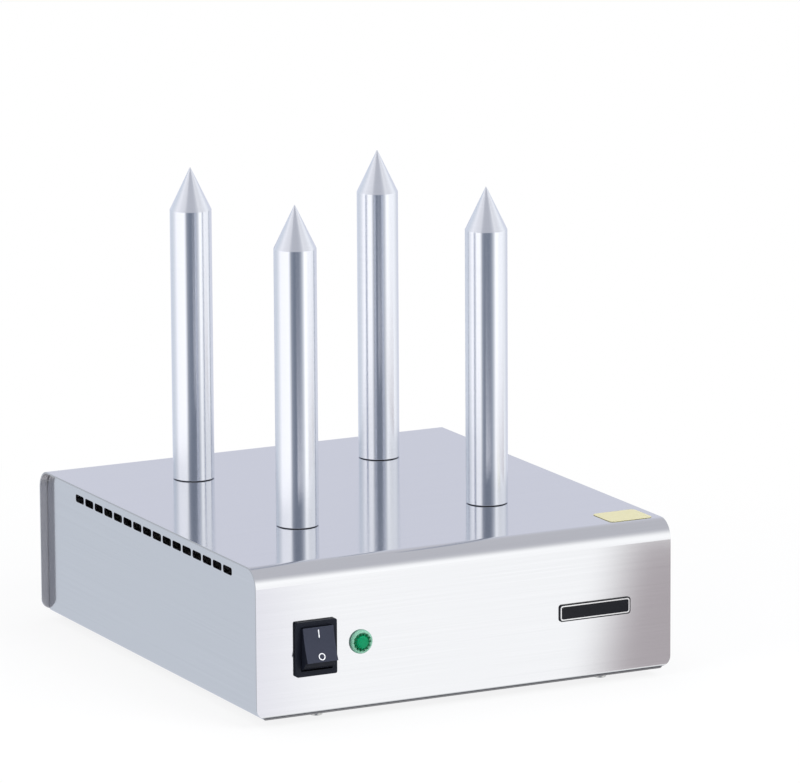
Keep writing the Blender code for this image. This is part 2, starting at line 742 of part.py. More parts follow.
def make_spike(corner):
    x, y = spike_place(corner)
    seat = COVER_TOP + FIT_GAP
    stack = COVER_SHEET + 3 * FIT_GAP + WASHER_THICKNESS + SPIKE_NUT_HEIGHT
    spigot = FIT_GAP + stack + SPIGOT_TAIL
    shoulder = SPIKE_HEIGHT - FIT_GAP - SPIKE_CONE
    bore = HEATER_RADIUS + HOLE_CLEARANCE
    bore_top = shoulder - SPIKE_BORE_ROOF
    profile = [
        (0, SPIKE_HEIGHT - FIT_GAP),
        (SPIKE_TIP, SPIKE_HEIGHT - FIT_GAP - SPIKE_TIP / 2),
        (SPIKE_RADIUS, shoulder),
        (SPIKE_RADIUS, 0),
        (SPIGOT_RADIUS, 0),
        (SPIGOT_RADIUS, -spigot),
        (bore, -spigot),
        (bore, bore_top),
        (0, bore_top),
    ]
    place(turned(f"spike_{corner}", profile), turned_aluminium, at(x, y, seat))

    washer_z = COVER_UNDERSIDE - FIT_GAP - WASHER_THICKNESS / 2
    outlines = [circle(WASHER_RADIUS, ROUND_STEPS), circle(SPIGOT_RADIUS + HOLE_CLEARANCE, ROUND_STEPS)]
    washer = plate(f"spike_washer_{corner}", outlines, WASHER_THICKNESS)
    place(washer, washer_mica, at(x, y, washer_z))
    nut_z = washer_z - WASHER_THICKNESS / 2 - FIT_GAP - SPIKE_NUT_HEIGHT / 2
    nut_bore = SPIGOT_RADIUS + HOLE_CLEARANCE
    matrix = at(x, y, nut_z)
    name = f"spike_nut_{corner}"
    nut(name, SPIKE_NUT_FLATS, SPIKE_NUT_HEIGHT, nut_bore, zinc_steel, matrix, ROUND_STEPS)

    flange_top = seat - spigot - FIT_GAP
    rod = bore_top + seat - HEATER_TOP_GAP - flange_top
    profile = [
        (0, rod),
        (HEATER_RADIUS, rod),
        (HEATER_RADIUS, 0),
        (HEATER_FLANGE_RADIUS, 0),
        (HEATER_FLANGE_RADIUS, -HEATER_FLANGE),
        (HEATER_HEAD_RADIUS, -HEATER_FLANGE),
        (HEATER_HEAD_RADIUS, -HEATER_FLANGE - HEATER_HEAD),
        (0, -HEATER_FLANGE - HEATER_HEAD),
    ]
    place(turned(f"heater_{corner}", profile, SMALL_ROUND_STEPS), heater_steel, at(x, y, flange_top))
    return Vector((x, y, flange_top - HEATER_FLANGE - HEATER_HEAD - FIT_GAP))


# Rocker switch


def make_switch():
    """The housing clips into the front panel, and the rocker turns on its two pins."""
    back_of_bezel = FRONT - FIT_GAP
    lip_back = back_of_bezel - BEZEL_THICKNESS + SWITCH_LIP
    outline = rectangle(BEZEL_WIDTH, BEZEL_HEIGHT, BEZEL_CORNER)
    housing = plate("switch_housing", [outline], BEZEL_THICKNESS)
    centre = at(SWITCH_X, back_of_bezel - BEZEL_THICKNESS / 2, CONTROLS_Z, TO_FRONT)
    deep = SWITCH_BODY_DEPTH + BEZEL_THICKNESS / 2
    outline = rectangle(SWITCH_BODY_WIDTH, SWITCH_BODY_HEIGHT, SWITCH_BODY_CORNER)
    body_y = back_of_bezel - BEZEL_THICKNESS / 2 + deep / 2
    join(housing, plate("switch_body", [outline], deep), at(SWITCH_X, body_y, CONTROLS_Z, TO_FRONT))

    well_width = ROCKER_WIDTH + 2 * ROCKER_SIDE_GAP
    clear = ROCKER_RADIUS + ROCKER_END_GAP
    lip_reach = FRONT + PIVOT_DEPTH - lip_back
    opening = 2 * math.sqrt(clear**2 - lip_reach**2)
    mouth = box("switch_mouth", well_width, SWITCH_LIP + 2 * CUT_OVERRUN, opening)
    cut(housing, mouth, at(SWITCH_X, lip_back - SWITCH_LIP / 2, CONTROLS_Z))
    well_back = FRONT + PIVOT_DEPTH + ROCKER_HUB + ROCKER_END_GAP
    well = box("switch_well", well_width, well_back - lip_back, 2 * clear)
    cut(housing, well, at(SWITCH_X, (well_back + lip_back) / 2, CONTROLS_Z))
    pivot = (SWITCH_X, FRONT + PIVOT_DEPTH, CONTROLS_Z)
    hole = rods("pivot_hole", [(0, 0)], PIVOT_PIN + PIVOT_CLEARANCE, 2 * SWITCH_BODY_WIDTH)
    cut(housing, hole, at(*pivot, ALONG_X))
    snap_front = FRONT + COVER_SHEET + FIT_GAP
    root = SWITCH_BODY_HEIGHT / 2 - SNAP_ROOT
    tip = SWITCH_BODY_HEIGHT / 2 + SNAP_STEP
    wedges = [[(side * root, 0), (side * tip, 0), (side * root, SNAP_LENGTH)] for side in (-1, 1)]
    snaps = plate("switch_snaps", wedges, SNAP_WIDTH)
    join(housing, snaps, at(SWITCH_X, snap_front, CONTROLS_Z, Matrix.Rotation(math.radians(-90), 4, "Y")))
    place(housing, black_plastic, centre)

    hinge = bpy.data.objects.new("rocker_hinge", None)
    parts.objects.link(hinge)
    hinge.parent = machine
    hinge.matrix_local = at(*pivot, Matrix.Rotation(-ROCKER_TILT, 4, "X"))
    facing = Matrix(((0, 0, -1, 0), (-1, 0, 0, 0), (0, 1, 0, 0), (0, 0, 0, 1)))
    rocker = plate("switch_rocker", [rocker_outline()], ROCKER_WIDTH)
    pins = rods("pivot_pins", [(0, 0)], PIVOT_PIN, ROCKER_WIDTH + 2 * PIVOT_PIN_LENGTH)
    combine(rocker, place(pins, None, facing, helper=True, parent=hinge), "UNION")
    place(rocker, rocker_plastic, facing, parent=hinge)

    tab_y = back_of_bezel + SWITCH_BODY_DEPTH + FIT_GAP + TAB_LENGTH / 2
    tabs = {
        "left_top": (-1, 1),
        "right_top": (1, 1),
        "left_low": (-1, -1),
        "right_low": (1, -1),
    }
    ends = {}
    for name, (side, level) in tabs.items():
        x = SWITCH_X + side * TAB_SPACING_X / 2
        z = CONTROLS_Z + level * TAB_SPACING_Z / 2
        tab = box(f"switch_tab_{name}", TAB_THICKNESS, TAB_LENGTH, TAB_WIDTH)
        place(tab, brass, at(x, tab_y, z))
        ends[name] = Vector((x, tab_y + TAB_LENGTH / 2 + LEAD_RADIUS, z))
    return ends


# Indicator lamp


def make_lamp():
    """A clear green lens pressed into a body that a spring clip holds behind the panel."""
    facing = at(LAMP_X, FRONT - FIT_GAP, CONTROLS_Z, TO_FRONT)
    rim_back = LAMP_BODY_RIM + FIT_GAP
    face = rim_back + LAMP_RIM
    crown = face + LAMP_DOME
    inside = LAMP_SKIRT_RADIUS - LAMP_WALL
    profile = [
        (0, crown),
        (LAMP_DOME_RADIUS - LAMP_DOME, crown),
        (LAMP_DOME_RADIUS, face),
        (LAMP_RIM_RADIUS - LAMP_RIM_EDGE, face),
        (LAMP_RIM_RADIUS, face - LAMP_RIM_EDGE),
        (LAMP_RIM_RADIUS, rim_back),
        (LAMP_SKIRT_RADIUS, rim_back),
        (LAMP_SKIRT_RADIUS, rim_back - LAMP_SKIRT),
        (inside, rim_back - LAMP_SKIRT),
        (inside, rim_back),
        (0, rim_back),
    ]
    place(turned("lamp_lens", profile), lens_green, facing)
    bore = LAMP_SKIRT_RADIUS + FIT_GAP
    floor = rim_back - LAMP_SKIRT - FIT_GAP
    profile = [
        (0, floor),
        (bore, floor),
        (bore, LAMP_BODY_RIM),
        (LAMP_BODY_FLANGE, LAMP_BODY_RIM),
        (LAMP_BODY_FLANGE, 0),
        (LAMP_BODY_RADIUS, 0),
        (LAMP_BODY_RADIUS, -LAMP_BODY_LENGTH),
        (0, -LAMP_BODY_LENGTH),
    ]
    place(turned("lamp_body", profile), lamp_plastic, facing)
    outlines = [circle(LAMP_CLIP_RADIUS), circle(LAMP_BODY_RADIUS + HOLE_CLEARANCE)]
    clip_y = FRONT + COVER_SHEET + FIT_GAP + LAMP_CLIP / 2
    place(plate("lamp_clip", outlines, LAMP_CLIP), zinc_steel, at(LAMP_X, clip_y, CONTROLS_Z, TO_FRONT))
    return Vector((LAMP_X, FRONT - FIT_GAP + LAMP_BODY_LENGTH + LEAD_RADIUS, CONTROLS_Z))


# Badge place and blank label


def make_plates():
    outline = rectangle(BADGE_WIDTH, BADGE_HEIGHT, BADGE_CORNER)
    badge_y = FRONT - FACE_GAP - BADGE_THICKNESS / 2
    badge = plate("badge_plate", [outline], BADGE_THICKNESS)
    place(badge, badge_black, at(BADGE_X, badge_y, TRAY_FLOOR + BADGE_Z, TO_FRONT))
    outline = rectangle(LABEL_WIDTH, LABEL_DEPTH, LABEL_CORNER)
    label_z = COVER_TOP + FACE_GAP + LABEL_THICKNESS / 2
    place(plate("blank_label", [outline], LABEL_THICKNESS), label_yellow, at(LABEL_X, LABEL_Y, label_z))


# Cable gland


def make_gland():
    """Body and dome nut outside the back panel, lock nut inside, with a rubber seal in the nut."""
    facing = at(GLAND_X, BACK + FIT_GAP, TRAY_FLOOR + GLAND_Z, TO_BACK)
    body = plate("gland_body", [polygon(GLAND_HEX_FLATS)], GLAND_HEX)
    shank = COVER_SHEET + 2 * FIT_GAP + GLAND_THREAD_LENGTH
    inner = rods("gland_shank", [(0, 0)], GLAND_THREAD, shank + GLAND_HEX / 2, ROUND_STEPS)
    join(body, inner, facing @ at(0, 0, (GLAND_HEX / 2 - shank) / 2))
    collar = rods("gland_collar", [(0, 0)], GLAND_COLLAR_RADIUS, GLAND_COLLAR + GLAND_HEX / 2, ROUND_STEPS)
    join(body, collar, facing @ at(0, 0, GLAND_HEX + GLAND_COLLAR / 2 - GLAND_HEX / 4))
    long = 2 * (shank + GLAND_HEX + GLAND_COLLAR)
    cut(body, rods("gland_bore", [(0, 0)], GLAND_BORE, long, ROUND_STEPS), facing)
    place(body, black_plastic, facing @ at(0, 0, GLAND_HEX / 2))

    nut_base = GLAND_HEX + FIT_GAP
    rim = nut_base + GLAND_NUT_HEX
    top = rim + GLAND_NUT_DOME
    dome_nut = plate("gland_nut", [polygon(GLAND_NUT_FLATS)], GLAND_NUT_HEX)
    outer = GLAND_NUT_FLATS / 2 - FIT_GAP
    profile = [
        (0, top),
        (GLAND_MOUTH + GLAND_SEAL_WALL, top),
        (outer, rim + GLAND_NUT_SHOULDER),
        (outer, rim - GLAND_NUT_HEX / 2),
        (0, rim - GLAND_NUT_HEX / 2),
    ]
    dome = turned("gland_dome", profile)
    join(dome_nut, dome, facing)
    socket_top = nut_base + GLAND_COLLAR + FIT_GAP
    socket_radius = GLAND_COLLAR_RADIUS + HOLE_CLEARANCE
    socket = rods("gland_socket", [(0, 0)], socket_radius, 2 * GLAND_COLLAR, ROUND_STEPS)
    cut(dome_nut, socket, facing @ at(0, 0, socket_top - GLAND_COLLAR))
    mouth = rods("gland_mouth", [(0, 0)], GLAND_MOUTH, 2 * top, ROUND_STEPS)
    cut(dome_nut, mouth, facing @ at(0, 0, top))
    place(dome_nut, black_plastic, facing @ at(0, 0, nut_base + GLAND_NUT_HEX / 2))

    seal_outer = GLAND_MOUTH - FIT_GAP
    seal_inner = seal_outer - GLAND_SEAL_WALL
    seal_base = GLAND_HEX + GLAND_COLLAR + FIT_GAP
    seal_top = top - FIT_GAP
    profile = [
        (seal_inner, seal_top),
        (seal_outer, seal_top),
        (seal_outer, seal_base),
        (seal_inner, seal_base),
    ]
    place(turned("gland_seal", profile, SMALL_ROUND_STEPS, ring=True), foot_rubber, facing)
    lock_y = BACK - COVER_SHEET - FIT_GAP - GLAND_LOCK / 2
    matrix = at(GLAND_X, lock_y, TRAY_FLOOR + GLAND_Z, TO_BACK)
    bore = GLAND_THREAD + HOLE_CLEARANCE
    nut("gland_locknut", GLAND_LOCK_FLATS, GLAND_LOCK, bore, black_plastic, matrix, ROUND_STEPS)


# Terminal block


def make_terminal_block():
    base = FLOOR_TOP + FIT_GAP
    block = box("terminal_block", BLOCK_LENGTH, BLOCK_DEPTH, BLOCK_FOOT)
    tower_length = BLOCK_POLES * BLOCK_POLE_PITCH
    tower_base = BLOCK_FOOT / 2
    tower = box("block_tower", tower_length, BLOCK_TOWER_DEPTH, BLOCK_HEIGHT - tower_base)
    join(block, tower, at(BLOCK_X, BLOCK_Y, base + (BLOCK_HEIGHT + tower_base) / 2))
    spots = [(pole_x(pole), BLOCK_Y) for pole in range(BLOCK_POLES)]
    wells = rods("block_wells", spots, WELL_RADIUS, 2 * WELL_DEPTH, TINY_ROUND_STEPS)
    cut(block, wells, at(0, 0, base + BLOCK_HEIGHT))
    mouth_z = base + BLOCK_FOOT / 2 + MOUTH_HEIGHT
    spots = [(pole_x(pole), mouth_z) for pole in range(BLOCK_POLES)]
    for side in (-1, 1):
        mouths = rods(f"block_mouths_{side}", spots, MOUTH_RADIUS, 2 * MOUTH_DEPTH, TINY_ROUND_STEPS)
        turn = Matrix(((1, 0, 0, 0), (0, 0, -1, 0), (0, 1, 0, 0), (0, 0, 0, 1)))
        cut(block, mouths, at(0, BLOCK_Y + side * BLOCK_TOWER_DEPTH / 2, 0, turn))
    holes = rods("block_holes", block_screw_places(), SCREW_RADIUS + HOLE_CLEARANCE, 2 * BLOCK_HEIGHT)
    cut(block, holes, at(0, 0, base))
    place(block, block_ceramic, at(BLOCK_X, BLOCK_Y, base + BLOCK_FOOT / 2))
    length = FIT_GAP + BLOCK_FOOT + FIT_GAP + TRAY_SHEET + FIT_GAP
    flip = Matrix.Rotation(math.radians(180), 4, "X")
    for name, (x, y) in zip(("left", "right"), block_screw_places()):
        screw(f"terminal_screw_{name}", length, zinc_steel, at(x, y, base + BLOCK_FOOT + FIT_GAP, flip))
    return mouth_z


# Thermal cut-out


def make_cut_out():
    """A disc thermostat held under the top by nuts on two welded studs."""
    plate_top = COVER_UNDERSIDE - FIT_GAP
    rim = circle(STUD_RADIUS + HOLE_CLEARANCE)
    holes = [[(x + side * STUD_SPACING / 2, y) for x, y in rim] for side in (-1, 1)]
    outline = rectangle(CUT_OUT_PLATE_LENGTH, CUT_OUT_PLATE_WIDTH, CUT_OUT_PLATE_CORNER)
    ears = plate("thermal_cut_out", [outline] + holes, CUT_OUT_PLATE)
    deep = CUT_OUT_BODY + CUT_OUT_PLATE / 2
    centre_z = plate_top - CUT_OUT_PLATE / 2
    body = rods("cut_out_body", [(0, 0)], CUT_OUT_RADIUS, deep, ROUND_STEPS)
    join(ears, body, at(0, SPIKE_OFFSET_Y, centre_z - deep / 2))
    place(ears, heater_steel, at(0, SPIKE_OFFSET_Y, centre_z))
    nut_z = plate_top - CUT_OUT_PLATE - FIT_GAP - STUD_NUT / 2
    for name, (x, y) in zip(("left", "right"), stud_places()):
        bore = STUD_RADIUS + HOLE_CLEARANCE
        nut(f"cut_out_nut_{name}", STUD_NUT_FLATS, STUD_NUT, bore, zinc_steel, at(x, y, nut_z))
    return Vector((0, SPIKE_OFFSET_Y, centre_z - deep - FIT_GAP))


# Earth bolt with its ring terminal


def make_earth():
    head_top = TRAY_FLOOR - FIT_GAP
    bolt = plate("earth_bolt", [polygon(EARTH_BOLT_FLATS)], EARTH_BOLT_HEAD)
    shank = EARTH_BOLT_LENGTH + EARTH_BOLT_HEAD / 2
    middle = at(EARTH_X, EARTH_Y, head_top - EARTH_BOLT_HEAD / 2)
    join(bolt, rods("earth_shank", [(0, 0)], SCREW_RADIUS, shank), middle @ at(0, 0, shank / 2))
    place(bolt, brass, middle)
    ring_z = FLOOR_TOP + FIT_GAP + EARTH_RING / 2
    bore = SCREW_RADIUS + HOLE_CLEARANCE
    ring = plate("earth_ring", [circle(EARTH_RING_RADIUS), circle(bore)], EARTH_RING)
    barrel_start = EARTH_RING_RADIUS - EARTH_BARREL_OVERLAP
    barrel_z = ring_z - EARTH_RING / 2 + EARTH_BARREL_RADIUS
    barrel = rods("earth_barrel", [(0, 0)], EARTH_BARREL_RADIUS, EARTH_BARREL)
    join(ring, barrel, at(EARTH_X + barrel_start + EARTH_BARREL / 2, EARTH_Y, barrel_z, ALONG_X))
    place(ring, brass, at(EARTH_X, EARTH_Y, ring_z))
    return Vector((EARTH_X + barrel_start + EARTH_BARREL + FIT_GAP, EARTH_Y, barrel_z))


def make_earth_nut():
    nut_z = FLOOR_TOP + 2 * FIT_GAP + EARTH_RING + EARTH_NUT / 2
    bore = SCREW_RADIUS + HOLE_CLEARANCE
    nut("earth_nut", EARTH_BOLT_FLATS, EARTH_NUT, bore, zinc_steel, at(EARTH_X, EARTH_Y, nut_z))


# Assembly

make_cover()
make_tray()
make_feet()
make_base_screws()
heater_ends = {corner: make_spike(corner) for corner in CORNERS}
tab_ends = make_switch()
lamp_end = make_lamp()
make_plates()
make_gland()
mouth_z = make_terminal_block()
cut_out_end = make_cut_out()
earth_end = make_earth()
make_earth_nut()

DOWN = Vector((0, 0, -1))
ASIDE = Matrix.Rotation(LEAD_TURN, 3, "Z") @ Vector((1, 0, 0))
FORWARDS = Vector((0, -1, 0))
RIGHT = Vector((1, 0, 0))
FROM_ABOVE = Matrix.Rotation(LEAD_SLOPE, 3, "X")


def mouth(pole, side):
    """The mouth of a pole of the terminal block, on its front (-1) or back (1) side."""
    return Vector((pole_x(pole), BLOCK_Y + side * (BLOCK_TOWER_DEPTH / 2 + FIT_GAP), mouth_z))


def to_block(name, start, leave, pole, side, radius, finish, slope=None):
    arrive = FORWARDS * -side
    if slope:
        arrive = slope @ arrive
    lead(name, pull_route(start, leave, mouth(pole, side), arrive), radius, finish)


HEATER_POLES = {
    "front_left": (0, -1),
    "front_right": (5, -1),
    "rear_left": (0, 1),
    "rear_right": (5, 1),
}
for corner, (pole, side) in HEATER_POLES.items():
    name = f"heater_lead_{corner}"
    to_block(name, heater_ends[corner], DOWN, pole, side, HEATER_LEAD_RADIUS, lead_sleeve)
to_block("switch_lead", tab_ends["right_low"], ASIDE, 1, -1, LEAD_RADIUS, lead_sleeve, FROM_ABOVE)
to_block("lamp_lead", lamp_end, ASIDE, 2, -1, LEAD_RADIUS, lead_sleeve, FROM_ABOVE)
to_block("cut_out_lead", cut_out_end, DOWN, 4, -1, LEAD_RADIUS, lead_sleeve)
to_block("earth_lead", earth_end, RIGHT, 1, 1, LEAD_RADIUS, earth_sleeve)
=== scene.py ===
import math

import bmesh
import bpy
from mathutils import Matrix, Vector


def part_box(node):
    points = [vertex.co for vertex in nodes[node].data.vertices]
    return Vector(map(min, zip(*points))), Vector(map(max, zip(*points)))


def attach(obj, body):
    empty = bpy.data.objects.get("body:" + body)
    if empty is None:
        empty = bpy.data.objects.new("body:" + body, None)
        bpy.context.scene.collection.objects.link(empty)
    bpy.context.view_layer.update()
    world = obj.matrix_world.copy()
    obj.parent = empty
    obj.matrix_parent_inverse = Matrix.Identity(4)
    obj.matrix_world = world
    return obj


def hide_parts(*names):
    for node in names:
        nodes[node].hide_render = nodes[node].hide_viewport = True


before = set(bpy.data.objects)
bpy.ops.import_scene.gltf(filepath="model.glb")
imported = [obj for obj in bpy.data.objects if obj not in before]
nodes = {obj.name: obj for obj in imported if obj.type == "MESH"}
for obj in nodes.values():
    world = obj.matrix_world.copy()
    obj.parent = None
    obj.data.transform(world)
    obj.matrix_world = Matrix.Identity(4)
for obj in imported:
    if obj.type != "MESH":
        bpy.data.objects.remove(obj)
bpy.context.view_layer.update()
print("frame loaded,", len(nodes), "CAD nodes")


def spin(degrees, axis):
    return Matrix.Rotation(math.radians(degrees), 4, axis)


toFront, toBack = spin(90, "X"), spin(-90, "X")
quarter = math.radians(90)
corners = ("front_left", "front_right", "rear_left", "rear_right")
mergeDistance = 0.000004  # points this close become one
fitGap = 0.0003  # between fitted pieces
faceWeight = 80  # how much more large faces count in the shading of bevelled edges


# Camera, where the photograph was taken from

camera = {
    "aim": (0.03549, -0.00097, 0.15181),
    "distance": 4.00075,
    "azimuth": 26.8207,  # degrees to the left of straight ahead
    "elevation": 11.9428,
    "roll": -0.3228,
    "lens": 302.262,
    "sensor": 36.0,
    "clipEnd": 50.0,
}


def makeCamera(look):
    data = bpy.data.cameras.new("camera")
    data.lens = look["lens"]
    data.sensor_width = look["sensor"]
    data.clip_end = look["clipEnd"]
    made = bpy.data.objects.new("camera", data)
    bpy.context.scene.collection.objects.link(made)
    turn = spin(-look["azimuth"], "Z") @ spin(90 - look["elevation"], "X")
    turn = turn @ spin(look["roll"], "Z")
    back = turn.to_3x3() @ Vector((0, 0, look["distance"]))
    made.matrix_world = Matrix.Translation(Vector(look["aim"]) + back) @ turn
    bpy.context.scene.camera = made


makeCamera(camera)
print("camera placed")


# Nodes of materials and of Geometry Nodes trees


# A source is a value, a socket or a node, which stands for its first output
def feed(tree, socket, source):
    if isinstance(source, bpy.types.Node):
        source = source.outputs[0]
    if isinstance(source, bpy.types.NodeSocket):
        tree.links.new(source, socket)
    else:
        socket.default_value = source


def node(tree, kind, settings=None, **sources):
    added = tree.nodes.new(kind)
    for name, value in (settings or {}).items():
        setattr(added, name, value)
    for name, source in sources.items():
        feed(tree, added.inputs[name.replace("_", " ")], source)
    return added


def feedAll(tree, sockets, sources):
    for socket, source in zip(sockets, sources):
        feed(tree, socket, source)


def treeMath(tree, operation, *sources, clamp=False):
    added = node(tree, "ShaderNodeMath", {"operation": operation, "use_clamp": clamp})
    feedAll(tree, added.inputs, sources)
    return added


def mapRange(tree, source, reach, ends, kind="SMOOTHSTEP"):
    added = node(tree, "ShaderNodeMapRange", {"interpolation_type": kind}, Value=source)
    labels = ("From Min", "From Max", "To Min", "To Max")
    feedAll(tree, [added.inputs[label] for label in labels], (*reach, *ends))
    return added


def mixColours(tree, share, *shades):
    mix = node(tree, "ShaderNodeMix", {"data_type": "RGBA"})
    ends = [socket for socket in mix.inputs if socket.type == "RGBA"]
    feedAll(tree, [mix.inputs[0], *ends], (share, *shades))
    return next(socket for socket in mix.outputs if socket.type == "RGBA")


# Finishes. Each one mixes two shades by a stretched noise, which also sets its gloss and relief.

brushed = {"metallic": 1.0, "anisotropy": 0.6}
turned = {"metallic": 1.0, "anisotropy": 0.8}
metal = {"metallic": 1.0}
finishes = {
    # name: (darker shade, paler shade, noise to the metre, roughness, relief, the rest)
    "brushedSteel": (
        (0.625, 0.635, 0.665), (0.675, 0.685, 0.715), (5, 1300, 1300), (0.085, 0.115), 0.02, brushed
    ),
    "sideSteel": (
        (0.63, 0.64, 0.67), (0.67, 0.68, 0.71), (1300, 5, 1300), (0.13, 0.17), 0.015, brushed
    ),
    "turnedAluminium": (
        (0.71, 0.735, 0.795), (0.79, 0.81, 0.865), (14, 14, 2100), (0.19, 0.25), 0.05, turned
    ),
    "zincSteel": ((0.54, 0.54, 0.52), (0.68, 0.68, 0.66), (420,) * 3, (0.28, 0.42), 0.08, metal),
    "heaterSteel": (
        (0.40, 0.39, 0.38), (0.55, 0.54, 0.52), (60, 60, 900), (0.32, 0.48), 0.08, metal
    ),
    "brass": ((0.70, 0.50, 0.21), (0.82, 0.64, 0.31), (300, 300, 900), (0.24, 0.38), 0.06, metal),
    "blackPlastic": (
        (0.006, 0.008, 0.014), (0.011, 0.013, 0.022), (2600,) * 3, (0.42, 0.52), 0.12,
        {"specular": 0.15},
    ),
    "rockerPlastic": (
        (0.030, 0.034, 0.052), (0.043, 0.048, 0.072), (2200,) * 3, (0.46, 0.58), 0.14,
        {"specular": 0.18},
    ),
    "whitePaint": ((0.80, 0.81, 0.84), (0.88, 0.89, 0.91), (1500,) * 3, (0.40, 0.52), 0.05),
    "lensRim": (
        (0.18, 0.44, 0.30), (0.26, 0.54, 0.40), (500,) * 3, (0.10, 0.18), 0.02, {"coat": 0.3}
    ),
    "lensCore": (
        (0.002, 0.20, 0.075), (0.006, 0.31, 0.13), (420,) * 3, (0.16, 0.22), 0.03, {"specular": 0.1}
    ),
    "lensTeeth": (
        (0.001, 0.085, 0.030), (0.003, 0.14, 0.055), (420,) * 3, (0.18, 0.26), 0.03,
        {"specular": 0.2},
    ),
    "lampPlastic": ((0.70, 0.71, 0.67), (0.77, 0.78, 0.74), (1200,) * 3, (0.38, 0.50), 0.08),
    "badgeBlack": (
        (0.006, 0.007, 0.010), (0.010, 0.011, 0.015), (900,) * 3, (0.20, 0.28), 0.02,
        {"specular": 0.15},
    ),
    "badgeSilver": (
        (0.74, 0.75, 0.77), (0.84, 0.85, 0.87), (20, 900, 900), (0.20, 0.28), 0.03, metal
    ),
    "labelFilm": (
        (0.64, 0.595, 0.305), (0.69, 0.65, 0.375), (260,) * 3, (0.34, 0.44), 0.04, {"coat": 0.2}
    ),
    # near black: partly the dark of a burnt cut edge, partly painted shade inside the vent slots
    "burntEdge": (
        (0.012, 0.012, 0.014), (0.022, 0.022, 0.025), (900,) * 3, (0.55, 0.70), 0.1,
        {"specular": 0.1},
    ),
    # painted light: a lighter, duller copy of the sheet's steel for the inside of the back
    "flangeSteel": (
        (0.72, 0.705, 0.72), (0.78, 0.765, 0.78), (900, 900, 9), (0.40, 0.50), 0.03,
        {"metallic": 0.85},
    ),
    # painted shade for the ends of the tray's floor, under the cover's lower edges
    "shadedSteel": ((0.19, 0.19, 0.20), (0.26, 0.26, 0.275), (900,) * 3, (0.40, 0.50), 0.05, metal),
    "cutSteel": ((0.47, 0.48, 0.50), (0.54, 0.55, 0.57), (900,) * 3, (0.32, 0.42), 0.05, metal),
    "footRubber": ((0.014, 0.014, 0.014), (0.026, 0.026, 0.025), (1300,) * 3, (0.72, 0.88), 0.3),
    "washerMica": ((0.42, 0.37, 0.29), (0.62, 0.57, 0.48), (500, 500, 120), (0.50, 0.72), 0.15),
    "blockCeramic": ((0.76, 0.74, 0.68), (0.84, 0.82, 0.76), (700,) * 3, (0.40, 0.58), 0.12),
    "leadSleeve": ((0.68, 0.65, 0.57), (0.84, 0.81, 0.74), (2400,) * 3, (0.70, 0.86), 0.5),
    "earthSleeve": (
        (0.10, 0.36, 0.05), (0.74, 0.66, 0.06), (190,) * 3, (0.42, 0.55), 0.05, {"contrast": 9.0}
    ),
}
finishBase = {
    "contrast": 1.4,
    "metallic": 0.0,
    "anisotropy": 0.0,
    "coat": 0.0,
    "coatRoughness": 0.08,
    "specular": 0.5,
    "fine": {"Detail": 3.0, "Roughness": 0.6},
    "broad": {"Scale": 14.0, "Detail": 2.0},
    "bump": {"Distance": 0.0002},
}


def makeFinish(name, darker, paler, grain, roughness, relief, rest=()):
    look = dict(finishBase, **dict(rest))
    material = bpy.data.materials.new(name)
    material.use_nodes = True
    tree = material.node_tree
    place = node(tree, "ShaderNodeTexCoord").outputs["Object"]
    stretch = node(tree, "ShaderNodeMapping", Vector=place, Scale=grain)
    fine = node(tree, "ShaderNodeTexNoise", Vector=stretch, Scale=1.0, **look["fine"])
    broad = node(tree, "ShaderNodeTexNoise", Vector=place, **look["broad"])
    contrast = look["contrast"]
    blend = treeMath(tree, "MULTIPLY_ADD", fine, contrast, (1 - contrast) / 2, clamp=True)
    half = mapRange(tree, fine, (0, 1), (0, 0.5), "LINEAR")
    gloss = treeMath(tree, "MULTIPLY_ADD", broad, 0.5, half)
    values = {
        "Base Color": mixColours(tree, blend, (*darker, 1), (*paler, 1)),
        "Roughness": mapRange(tree, gloss, (0, 1), roughness, "LINEAR"),
        "Normal": node(tree, "ShaderNodeBump", Height=fine, Strength=relief, **look["bump"]),
        "Metallic": look["metallic"],
        "Anisotropic": look["anisotropy"],
        "Coat Weight": look["coat"],
        "Coat Roughness": look["coatRoughness"],
        "Specular IOR Level": look["specular"],
    }
    if look["anisotropy"]:
        lay = {"direction_type": "UV_MAP", "uv_map": "grain"}
        values["Tangent"] = node(tree, "ShaderNodeTangent", lay)
    for label, value in values.items():
        feed(tree, tree.nodes["Principled BSDF"].inputs[label], value)
    material.diffuse_color = (*paler, 1)
    return material


made = {name: makeFinish(name, *row) for name, row in finishes.items()}
print("finishes made:", len(made))

# Slots of the CAD nodes whose finish has another name than theirs
slotFinishes = {"tray_steel": "sideSteel", "lens_green": "lensCore", "label_yellow": "labelFilm"}


def finishOf(slotName):
    first, *others = slotName.split("_")
    return made[slotFinishes.get(slotName, first + "".join(word.title() for word in others))]


for cadNode in nodes.values():
    for slot in cadNode.material_slots:
        slot.material = finishOf(slot.material.name.split(".")[0])


# Making shapes


def arc(centre, radius, start, end, steps=5):
    turns = (start + (end - start) * i / steps for i in range(steps + 1))
    return [(centre[0] + radius * math.cos(t), centre[1] + radius * math.sin(t)) for t in turns]


# Part of an upright ellipse
def oval(centre, wide, tall, start, end, steps=10):
    points = arc((0, 0), 1, start, end, steps)
    return [(centre[0] + wide * x, centre[1] + tall * y) for x, y in points]


def roundedBox(width, height, corner, steps=8):
    points = []
    for k, (sx, sy) in enumerate(((1, 1), (-1, 1), (-1, -1), (1, -1))):
        middle = (sx * (width / 2 - corner), sy * (height / 2 - corner))
        points += arc(middle, corner, quarter * k, quarter * (k + 1), steps)
    return points


def circle(radius, steps=48):
    return arc((0, 0), radius, 0, 2 * math.pi * (steps - 1) / steps, steps - 1)


def hexagon(flats):
    return circle(flats / 2 / math.cos(math.pi / 6), 6)


